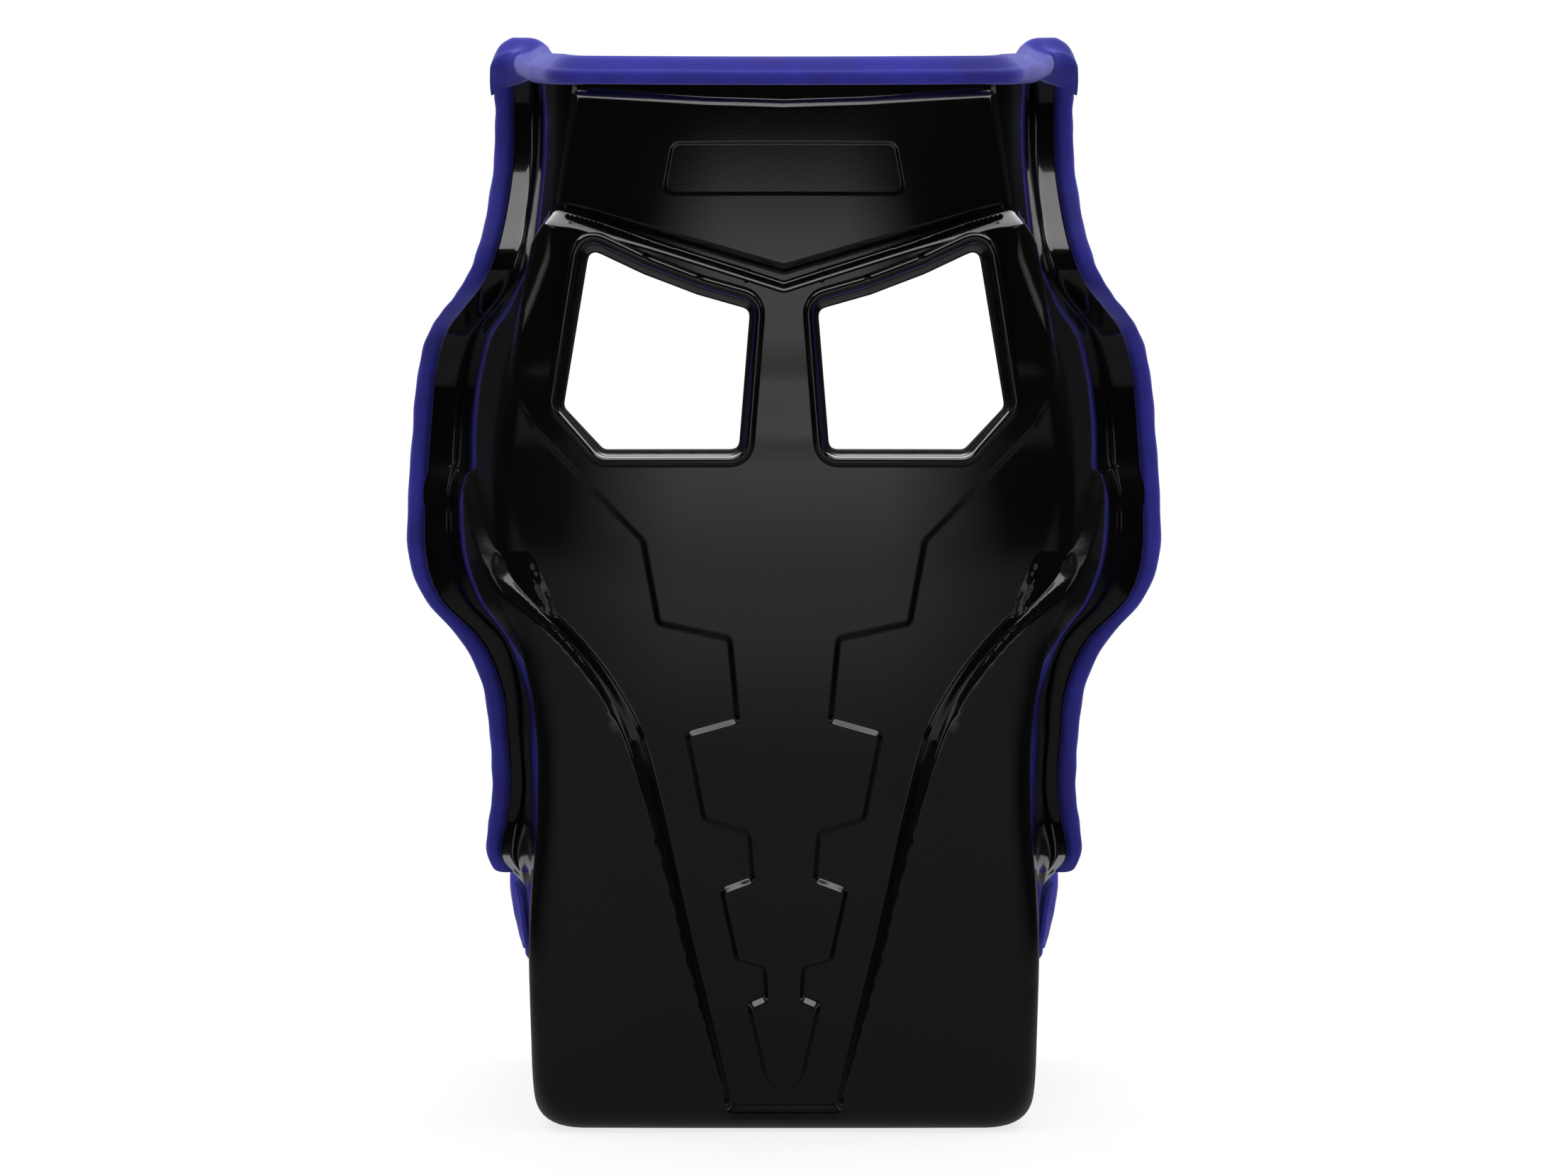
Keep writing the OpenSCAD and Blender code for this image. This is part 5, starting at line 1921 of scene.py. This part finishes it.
@dataclass(frozen=True)
class EdgeRolls:
    """The padded rolls over the shell's edges, whose covers wrap a little way round its outside."""

    side_r: float = 6.5
    side_deep: float = 17.0
    belt_r: float = 4.0
    belt_deep: float = 10.0
    front_r: float = 11.0
    top_run: float = 8.5
    front_run: float = 4.6

    def side_section(self, r: float, deep: float, hem: float) -> Points:
        """A side roll's section.

        Args:
            r: Half its width beyond the lip.
            deep: How far it reaches towards the occupant.
            hem: How far its cover wraps round the lip's outside.

        Returns:
            Points as (distance beyond the lip's edge, depth), from the hem round and back.
        """
        return np.array([
            (-hem, -0.5), (-hem - 0.7, -1.6), (-hem - 0.4, -3.0), (-hem + 1.4, -4.3), (-hem * 0.3, -5.1),
            (0.4 * r, -5.4), (1.1 * r, -4.9), (1.65 * r, -2.9), (1.95 * r, 0.6), (2.04 * r, deep * 0.35),
            (2.04 * r, deep * 0.62), (1.9 * r, deep - 3.2), (1.5 * r, deep - 0.7), (r, deep + 0.3),
            (0.5 * r, deep - 0.2), (0.2 * r, deep - 1.6), (0.6, deep * 0.7), (0.6, deep * 0.3), (0.6, -0.1),
            (0.2, -0.5), (-hem * 0.5, -0.5)])

    def rings(self, s: Points, section: Points) -> Points:
        """Rings of a roll along the lip's edge, slightly creased.

        Args:
            s: The stations.
            section: The roll's section.

        Returns:
            A ring for each station.
        """
        lip = size_of(FORM.place(s, 7.0, 0) - FORM.place(s, 6.9, 0)) / 0.1
        window = np.hanning(19)[1:-1] / np.hanning(19).sum()
        made = []
        for beyond, depth in section:
            crease = 1 + 0.02 * np.sin(s * 9.1 + depth) + 0.018 * np.sin(s * 5.3 + 1)
            w = beyond * np.where(beyond > 1, crease, 1)
            p = FORM.place(s, 7.0 + np.minimum(w, 0) / lip, depth)
            if beyond > 1:
                p[:, 0] = np.convolve(np.pad(p[:, 0], 8, mode="reflect", reflect_type="odd"), window, "valid")
            made.append(p + np.maximum(w, 0)[:, None] * np.array([1.0, 0, 0]))
        return np.stack(made, 1)

    def rounded_ends(self, rings: Points, reach: float = 6.0) -> Points:
        """The rings with both ends closed to a round tip.

        Args:
            rings: The roll's rings.
            reach: How far the tips stand out.

        Returns:
            All rings.
        """
        made = []
        for ring, nxt in ((rings[0], rings[1]), (rings[-1], rings[-2])):
            middle = ring.mean(0)
            out = unit(middle - nxt.mean(0))
            made.append([middle + out * reach * a + (ring - middle) * b
                         for a, b in ((1.0, 0.1), (0.95, 0.36), (0.84, 0.58), (0.64, 0.79), (0.34, 0.95))])
        return join([made[0], rings, made[1][::-1]])

    def side_roll(self, name: str, first: float, last: float, section: Points) -> None:
        """One roll along both side edges.

        Args:
            name: The nodes' name without its side.
            first: The first station.
            last: The last station.
            section: Its section.
        """
        s = np.linspace(first + SEAM, last - SEAM, round((last - first) * 9))
        wide, deep = section.max(0)
        rings = self.rounded_ends(self.rings(s, section), wide * 0.4)
        line = FORM.place(s, 6.9, deep + 1.5)[4:-4]
        for side in Side:
            node = f"{name}_{side.word}"
            soft(tube(rings).mirrored(side).build(f"{node}_cover"), BLUE, 0.9, node)
            if deep > self.belt_deep + 2:
                row = stitches(line, np.broadcast_to(unit(np.array([-0.3, 1.0, 0.0])), line.shape))
                dress(row.mirrored(side).build(f"{node}_stitches"), THREAD)

    def top_section(self, drop: Points) -> Points:
        """The top roll's section, whose cover hangs down the outside by a drop.

        Args:
            drop: How far it hangs at each place.

        Returns:
            For each place, points as (distance outside the skin, height over the edge).
        """
        out = np.array([-9, -3, -0.2, 0.5, 0.5, 1.4, 3.6, 6.2, 7.9, 8.6, 8.8, 8.2, 6.8, 5.0, 4.3, 3.4, 1.0,
                        -2.6, -6.4, -9.8, -12.4, -13.4, -13.2, -11.8])
        low = np.array([0.6, 0.6, 0.6, 0.3, 0.3, -0.2, -0.4, 0.6, 2.2, 4.4, 6.4, 8.6, 10.2, 11.0, 11.4, 12.2,
                        14.6, 18.0, 20.4, 20.6, 18.2, 13.4, 7.4, 2.6])
        share = np.array([0, 0, 0, 0.04, 0.9, 1.03, 1.03, 0.96, 0.8, 0.6, 0.4, 0.2, 0.06] + [0] * 11)
        high = low - drop[:, None] * share
        return np.stack([np.broadcast_to(out, high.shape), high], -1)

    def top_roll(self) -> MeshParts:
        """The roll over the top edge: a bead at the rear, a sloping upper face and full round tips.

        Returns:
            The roll's mesh.
        """
        run = join([-np.linspace(self.top_run, 0, 122)[:-1], np.linspace(0, self.top_run, 122)])
        u = np.clip(run, -7, 7)
        zero = np.zeros_like(u)
        lean = math.radians(FORM.lean_high)
        ahead = np.array([0, -math.sin(lean), math.cos(lean)])
        along = size_of(FORM.place(0.1, u, 0) - FORM.place(0, u, 0)) / 0.1
        drop = np.interp(np.abs(run), (0, 0.9, 2, 3, 5, 7, 8.5), (0, 0, 1.6, 3.4, 9, 14.5, 18.5))
        section = self.top_section(drop)
        crease = 1 + 0.01 * np.sin(u * 7.0) + 0.008 * np.sin(u * 17.0 + 1)
        tall = np.interp(np.abs(run), (0, 2, 3, 4, 5, 5.8, 7, 7.5),
                         (0.96, 0.96, 0.86, 0.72, 0.8, 1.06, 1.06, 1.0))
        thin = np.sqrt(1 - (np.abs(run - u) / 1.54) ** 2)
        fill = 12 * np.exp(-((np.abs(run) - 5.4) / 1.3) ** 2)
        beyond = fill[:, None] * np.stack([0.55 * np.sign(u), zero - 0.84, zero], -1)
        past = (run - u)[:, None] * np.array([9.5, 0, 0])
        rings = []
        for k in range(section.shape[1]):
            out, high = section[:, k, 0] * crease * mix(0.4, 1, thin), section[:, k, 1]
            p = FORM.place(np.maximum(-high, 0) / along, u, -out) + past
            p = p + beyond * np.clip(out / 6, 0, 1)[:, None]
            rings.append(p + (np.maximum(high, 0) * tall * thin)[:, None] * ahead)
        rings = np.stack(rings, 1)
        window = np.hanning(9)[1:-1, None, None] / np.hanning(9).sum()
        rings[3:-3] = sum(rings[k:len(rings) - 6 + k] * window[k] for k in range(7))
        return tube(self.rounded_ends(rings, 2.5))

    def front_roll(self) -> MeshParts:
        """The roll over the front lip.

        Returns:
            The roll's mesh.
        """
        u = join([-np.linspace(self.front_run, 0, 90)[:-1], np.linspace(0, self.front_run, 90)])
        last, r = FORM.last, self.front_r
        skin = FORM.place(last, u, 0)
        way = unit(skin - FORM.place(last - 0.1, u, 0))
        out = unit(FORM.place(last, u, 4) - skin)
        middle = FORM.place(last, u, 2) + way * (r + FORM.fit_gap)
        out = unit(out - way * dot(out, way))
        out, way = (np.stack([np.convolve(np.pad(a[:, k], 8, mode="edge"), np.ones(17) / 17, "valid")
                              for k in range(3)], -1) for a in (out, way))
        turn = full_turn(20)
        rings = (middle[:, None] + out[:, None] * r * np.cos(turn)[None, :, None]
                 + way[:, None] * r * np.sin(turn)[None, :, None])
        return tube(self.rounded_ends(rings[:, ::-1], r))

    def build(self) -> None:
        """Makes and dresses the rolls."""
        for name, first, last, r, deep, hem in (
                ("edge_roll", 0.45, S_WING_END, self.side_r, self.side_deep, 2.6),
                ("belt_trim", S_WING_END + 0.4, S_THIGHS - 0.5, self.belt_r, self.belt_deep, 0.6),
                ("thigh_roll", S_THIGHS - 0.5, S_FRONT, self.side_r, self.side_deep, 2.0)):
            self.side_roll(name, first, last, self.side_section(r, deep, hem))
        soft(self.top_roll().build("head_top_roll_cover"), BLUE, 0.9, "head_top_roll")
        soft(self.front_roll().build("front_roll_cover"), BLUE, 0.9, "front_roll")


@dataclass(frozen=True)
class SlotTrims:
    """The gloss frames round the harness slots."""

    profile: tuple[tuple[float, float], ...] = (
        (0.0, 25.0), (0.0, 8.0), (0.3, 5.5), (1.2, 3.0), (3.6, -1.8), (4.6, -4.0), (5.6, -5.6), (7.0, -6.4),
        (8.8, -6.2), (10.3, -5.0), (11.3, -3.0), (11.8, -0.8), (11.8, 0.6), (2.6, 0.8), (2.5, 25.0))

    def build(self) -> None:
        """Makes and dresses both frames."""
        line = subdivide(round_corners(SLOT_CORNERS, 9, 9), 5.0, closed=True)
        normal = line_normals(line, True)
        normal *= -1 if inside(line, *(line + normal * 0.5)[:1].T)[0] else 1
        gaps, depths = np.array(self.profile).T
        x, z = np.moveaxis(line[:, None] + normal[:, None] * gaps[None, :, None], -1, 0)
        relief = RELIEF.depth(x, z, np.ones_like(x, bool))
        y = FORM.back_y(z) + FORM.crown * (x / 215) ** 2 + np.where(depths < 1, relief, 0) + depths
        frame_parts = tube(np.stack([x, y, z], -1), closed=True)
        for side in Side:
            node = f"harness_trim_{side.word}"
            dress(frame_parts.mirrored(side).build(f"{node}_frame"), TRIM_GLOSS, "root", node)


@dataclass(frozen=True)
class CrotchGuide:
    """The opening for the crotch strap in the liner on the base."""

    middle_y: float = 50.0
    half: tuple[float, float] = (45.5, 25.5)

    def open_up(self, liner: Object) -> None:
        """Cuts the opening through the liner."""
        (w, h), y = self.half, self.middle_y
        line = round_corners(np.array([(-w, y - h), (w, y - h), (w, y + h), (-w, y + h)], float), 12, 7)
        cut(liner, tube(np.array([[(a, b, z) for a, b in line] for z in (-30.0, 60.0)])))


@dataclass(frozen=True)
class GripStrips:
    """The hook-and-loop strips under the cushions."""

    low: float = FORM.pad_back + 5.3
    thick: float = 1.5
    wide: float = 25.0

    def band(self, run: Points, ahead: Points, up: Points) -> MeshParts:
        """A strip along a line.

        Args:
            run: Its middle line on its underside.
            ahead: The way across it at each point.
            up: The way out of its face at each point.

        Returns:
            The strip, with its woven edges slightly wavy and its corners cut round.
        """
        share = join([[-1, -0.97], np.linspace(-0.9, 0.9, 9), [0.97, 1]])
        n = len(run)
        end = np.minimum(np.arange(n), np.arange(n)[::-1])
        half = self.wide / 2 * (1 - 0.1 * np.clip(1 - end / 2, 0, 1) ** 2) + 0.25 * np.sin(np.arange(n) * 2.4)
        flat = run[:, None] + ahead[:, None] * (half[:, None] * share[None])[..., None]
        rise = self.thick * np.where(np.abs(share) > 0.95, 0.55, 1) * np.where(end == 0, 0.6, 1)[:, None]
        return between(flat, flat + up[:, None] * rise[..., None])

    def build(self) -> None:
        """Makes and dresses the strips under each cushion."""
        seat, leg, lumbar = MeshParts(), MeshParts(), MeshParts()
        one = np.ones((60, 1))
        x = np.linspace(-98.6, 98.6, 60)
        for y in (-107.5, 2.5):
            strip = self.band(np.stack([x, 0 * x + y, 0 * x + self.low], -1), one * (0, 1, 0), one * (0, 0, 1))
            seat.add(join(strip.points), [f[::-1] for f in strip.faces])
        for side in (-1, 1):
            y = np.linspace(65.5, 243.5, 56)
            line = np.stack([0 * y + 88 * side, y, FORM.above_base(y, self.low)], -1)
            up = unit(np.cross(np.array([1.0, 0, 0]), np.gradient(line, axis=0)))
            leg.take(self.band(line, one[:56] * (1, 0, 0), up))
        x = np.linspace(-55.8, 55.8, 36)
        lean = math.radians(11)
        ahead, up = ((0, -math.sin(lean), math.cos(lean)), (0, math.cos(lean), math.sin(lean)))
        for z in (325.0, 235.0):
            low = FORM.place(FORM.s_at(FORM.at_back(z)), 0.45 * x / 56, FORM.pad_back + 14.3)
            low[:, 0] = x
            lumbar.take(self.band(low, one[:36] * ahead, one[:36] * up))
        for name, parts in (("seat", seat), ("leg", leg), ("lumbar", lumbar)):
            node = f"{name}_grip_strips"
            dress(parts.build(f"{node}_tape"), LOOP_TAPE, "root", node)


@dataclass(frozen=True)
class Cushion:
    """A lift-out cushion that swells like a stuffed cover and is then sewn into channels.

    Attributes:
        node: The solid that it stands for, and its body.
        rows: Places of the channels that run across it, along the cushion's length.
        sides: Distance from the middle of the channels that run along it.
        upright: Whether it stands against the back.
        notch: Depth of the cut for the crotch strap, at its front when above 0 and at its rear when below 0.
        fill: How tightly it is filled.
        shrink: How far the cover starts inside the CAD's solid, in millimetres.
        most: How far its filling may push it, in millimetres.
        inset: How far its piping lies inside its outline.
        notch_half: Half the width of the cut for the crotch strap.
    """

    node: str
    rows: tuple[float, ...]
    sides: tuple[float, ...]
    upright: bool = False
    notch: float = 0.0
    fill: float = 0.75
    shrink: float = 2.6
    most: float = 4.2
    inset: float = 0.002
    notch_half: float = 0.046

    def swollen(self) -> Object:
        """The cushion's cover after its filling has pushed it out.

        Returns:
            The cover.
        """
        cover = in_scene(f"{self.node}_cover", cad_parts[self.node].data.copy())
        cover.data.materials.clear()
        change = cover.modifiers.new("even", "REMESH")
        change.mode, change.voxel_size = "VOXEL", 0.005
        settle(cover)
        soften = cover.modifiers.new("soften", "SMOOTH")
        soften.factor, soften.iterations = 0.5, 6
        settle(cover)
        rest, normals = self.read(cover)
        start = rest - normals * self.shrink * MM
        cover.data.vertices.foreach_set("co", start.ravel())
        cloth = cover.modifiers.new("filling", "CLOTH")
        cloth.settings.quality = 4
        cloth.settings.use_pressure = True
        cloth.settings.uniform_pressure_force = 4
        cloth.settings.effector_weights.gravity = 0
        cloth.point_cache.frame_end = 20
        for step in range(1, 21):
            bpy.context.scene.frame_set(step)
        settle(cover)
        bpy.context.scene.frame_set(1)
        moved, _ = self.read(cover)
        delta = moved - start
        size = np.linalg.norm(delta, axis=1, keepdims=True)
        delta *= np.minimum(1, self.most * MM / np.maximum(size, 1e-9))
        under = self.under(normals)
        delta -= normals * np.maximum(dot(delta, normals), 0) * under[:, None]
        cover.data.vertices.foreach_set("co", (start + delta).ravel())
        finer = cover.modifiers.new("finer", "SUBSURF")
        finer.levels = 1
        settle(cover)
        return cover

    def read(self, obj: Object) -> tuple[Points, Points]:
        """An object's points and their normals.

        Args:
            obj: The object.

        Returns:
            The points and the normals, in metres.
        """
        count = len(obj.data.vertices)
        points, normals = np.zeros(count * 3), np.zeros(count * 3)
        obj.data.vertices.foreach_get("co", points)
        obj.data.vertices.foreach_get("normal", normals)
        return points.reshape(-1, 3), normals.reshape(-1, 3)

    def under(self, normals: Points) -> Points:
        """How far each point faces what the cushion rests on."""
        return smooth(0.2, 0.7, -(normals[:, 1] if self.upright else normals[:, 2]))

    def channels(self, cover: Object) -> None:
        """Draws the cover in along its sewn channels.

        Args:
            cover: The cushion's cover.
        """
        points, normals = self.read(cover)
        along = points[:, 2] if self.upright else points[:, 1]
        x = points[:, 0]
        inner = smooth(self.sides[-1] * MM + 0.002, self.sides[-1] * MM - 0.002, np.abs(x))
        across = sum(np.exp(-((along - row * MM) / 0.0028) ** 2) for row in self.rows) * inner
        beside = sum(np.exp(-((np.abs(x) - side * MM) / 0.0028) ** 2) for side in self.sides)
        top = smooth(0.25, 0.75, normals[:, 1] if self.upright else normals[:, 2])
        depth = 3.6 * MM * np.maximum(across, beside) * top
        cover.data.vertices.foreach_set("co", (points - normals * depth[:, None]).ravel())
        cover.data.update()

    def edge_piping(self, cover: Object) -> Object:
        """The piping round the cushion's face, laid on its cover.

        Args:
            cover: The cushion's cover.

        Returns:
            The piping.
        """
        points, _ = self.read(cover)
        faces = [tuple(f.vertices) for f in cover.data.polygons]
        tree = BVHTree.FromPolygons(points.tolist(), faces)
        (x0, y0, z0), (x1, y1, z1) = points.min(0), points.max(0)
        low, high = (z0, z1) if self.upright else (y0, y1)
        a, b, c, d = x0 + self.inset, x1 - self.inset, low + self.inset, high - self.inset
        corners, w = [(a, c), (b, c), (b, d), (a, d)], self.notch_half
        if self.notch > 0:
            corners[3:3] = [(w, d), (w, d - self.notch), (-w, d - self.notch), (-w, d)]
        elif self.notch < 0:
            corners[1:1] = [(-w, c), (-w, c - self.notch), (w, c - self.notch), (w, c)]
        loop = subdivide(round_corners(np.array(corners), 0.014, 8), 0.005, closed=True)
        path = []
        for x, along in loop:
            x, along = x * 0.965, along + ((low + high) / 2 - along) * 0.045
            start, way = Vector((x, along, 1.0)), Vector((0, 0, -1))
            if self.upright:
                start, way = Vector((x, 1.0, along)), Vector((0, -1, 0))
            hit, normal, _, _ = tree.ray_cast(start, way)
            if hit is not None:
                path.append(tuple((hit + normal * 0.0004) / MM))
        path = np.array(path)
        for _ in range(3):
            path = (np.roll(path, 1, 0) + path * 2 + np.roll(path, -1, 0)) / 4
        return sweep(path, 2.0, 9, closed=True).build(f"{self.node}_piping")

    def build(self) -> None:
        """Makes and dresses the cushion."""
        cover = self.swollen()
        self.channels(cover)
        shade_smooth(cover.data)
        piping = self.edge_piping(cover)
        soft(cover, KNIT, self.fill, self.node, self.node)
        dress(piping, BLUE_PIPING, self.node)


CUSHIONS = (Cushion("seat_cushion", (-128.0, -84.0, -40.0, 4.0), (42.0, 112.0), notch=0.017),
            Cushion("leg_cushion", (96.0, 140.0, 184.0, 228.0), (42.0, 112.0), notch=-0.017),
            Cushion("lumbar_cushion", (235.0, 280.0, 325.0), (40.0, 92.0), upright=True))


# ---- the studio
@dataclass(frozen=True)
class Studio:
    """The camera, the lamps, the floor and what shines round the seat."""

    # strengths of the floor's glowing patches that only the shell's gloss sees: painted reflections, not lamps
    far_reflection_glow: float = 0.72
    near_reflection_glow: float = 0.11
    eye: tuple[float, float, float] = (0, -3.171, 0.435)
    floor_rings: tuple[float, ...] = (600.0, 1500.0, 6000.0)

    def camera(self) -> None:
        """Places the camera straight behind the seat."""
        data = bpy.data.cameras.new("camera")
        data.lens, data.sensor_width = 85, 36
        data.clip_start, data.clip_end = 0.05, 60
        camera = in_scene("camera", data)
        camera.location = self.eye
        camera.rotation_euler = (math.radians(90), 0, 0)
        bpy.context.scene.camera = camera

    def lamp(self, name: str, place: Sequence[float], target: Sequence[float], size: tuple[float, float],
             power: float, mirrored: bool = True) -> None:
        """Adds a soft rectangular lamp.

        Args:
            name: Its name.
            place: Where it stands, in metres.
            target: What it points at.
            size: Its width and height.
            power: Its power in watts.
            mirrored: Whether gloss mirrors it.
        """
        data = bpy.data.lights.new(name, "AREA")
        data.shape, data.size, data.size_y, data.energy = "RECTANGLE", *size, power
        lamp = in_scene(name, data)
        lamp.location = place
        lamp.visible_glossy = mirrored
        lamp.rotation_euler = (Vector(target) - Vector(place)).to_track_quat("-Z", "Y").to_euler()

    def world(self) -> None:
        """White round the seat for the camera, and a studio that its gloss mirrors."""
        world = bpy.data.worlds.new("studio")
        bpy.context.scene.world = world
        world.use_nodes = True
        world.node_tree.nodes.clear()
        net = NodeNet(world.node_tree)
        way = net.add("SeparateXYZ", {0: net.add("TexCoord").outputs["Generated"]}).outputs
        beside = net.maths("ABSOLUTE", way[0])
        strip = net.times(net.scaled(beside, 0.84, 0.9), net.scaled(beside, 0.985, 0.95),
                          net.scaled(way[1], 0.0, -0.1), net.scaled(way[2], -0.25, 0.05, 0.0, 0.55))
        gloss = net.maths("MAXIMUM", strip, net.scaled(way[2], 0.3, 0.9, 0.012, 0.12))
        plain = net.scaled(way[2], -0.3, 0.9, 0.1, 0.5)
        plain, gloss, white = (net.add("Background", {0: WHITE, 1: light}) for light in (plain, gloss, 1.0))
        path = net.add("LightPath").outputs
        seen = net.maths("MAXIMUM", path["Is Camera Ray"], path["Is Transmission Ray"])
        last = net.mixed(seen, net.mixed(path["Is Glossy Ray"], plain, gloss), white)
        net.add("OutputWorld", {0: last.outputs[0]})

    def floor(self) -> None:
        """A wide pale floor that fades into white and keeps the seat's shadow; for reflections it shows glowing
        patches, painted reflections on the shell's gloss.
        """
        points = [(0, 0, -0.4)] + [(r * math.cos(a), r * math.sin(a), -0.4)
                                   for r in self.floor_rings for a in full_turn(64)]
        faces = [(0, 1 + k, 1 + (k + 1) % 64) for k in range(64)]
        faces += [tuple(i + 1 for i in f)[::-1] for f in grid_faces(3, 64, wrap=True)]
        made = bpy.data.materials.new("pale_floor")
        made.use_nodes = True
        made.node_tree.nodes.clear()
        net = NodeNet(made.node_tree)
        grain = GRAIN.on(net, Scale=60.0, Wave_scale=3.0, Waves=1.0)
        lit = net.add("BsdfDiffuse", {0: net.blend(grain["Mask"], (0.83,) * 3, (0.87,) * 3)})
        place = net.add("SeparateXYZ", {0: net.place()}).outputs
        beside = net.maths("ABSOLUTE", place[0])
        # far and near glow only for glossy rays: painted reflections on the shell's gloss from behind the camera
        far = net.times(net.scaled(beside, 0.345, 0.165), net.scaled(place[1], -0.82, -1.28),
                        net.scaled(place[1], -1.95, -1.6, 0.0, self.far_reflection_glow))
        near = net.times(net.scaled(beside, 1.1, 0.5), net.scaled(place[1], -1.02, -0.94, 0.0, self.near_reflection_glow),
                         net.scaled(place[1], -0.2, -0.7, 0.72, 1.0))
        white = net.add("Emission", {0: WHITE, 1: 1.0})
        gloss = net.add("Emission", {0: WHITE, 1: net.plus(far, near, 0.006)})
        path = net.add("LightPath").outputs
        away = net.add("VectorMath", {0: net.place()}, operation="LENGTH").outputs["Value"]
        seen = net.times(path["Is Camera Ray"], net.scaled(away, 0.25, 0.75, 0.8, 1.0))
        last = net.mixed(path["Is Glossy Ray"], net.mixed(seen, lit, white), gloss)
        net.add("OutputMaterial", {0: last.outputs[0]})
        MeshParts().add(points, faces).build("floor", made)

    def build(self) -> None:
        """Sets the whole studio up."""
        bpy.context.scene.view_settings.view_transform = "Standard"
        self.camera()
        self.world()
        self.floor()
        self.lamp("top_softbox", (0, -0.05, 2.3), (0, -0.05, 0.4), (4.6, 4.3), 140)
        self.lamp("front_fill", (0, 2.8, 1.6), (0, 0, 0.4), (2.4, 1.6), 18, mirrored=False)


def carried_over() -> None:
    """Finishes the CAD nodes that stay as they are: the side plates and the strap guide."""
    for name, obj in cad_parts.items():
        if not obj.hide_render:
            finish = STEEL if name.startswith("side_mount") else SATIN
            for slot in obj.material_slots:
                slot.material = finish.material()
            LOG.info("carried over %s", name)


def main() -> None:
    """Builds the seat piece by piece."""
    logging.basicConfig(level=logging.INFO)
    Studio().build()
    dress(ShellMesh().build("shell_body"), GLOSS, "root", "shell")
    Bolsters().build()
    CentrePads().build()
    EdgeRolls().build()
    SlotTrims().build()
    GripStrips().build()
    for cushion in CUSHIONS:
        cushion.build()
    carried_over()


if __name__ == "__main__":
    main()
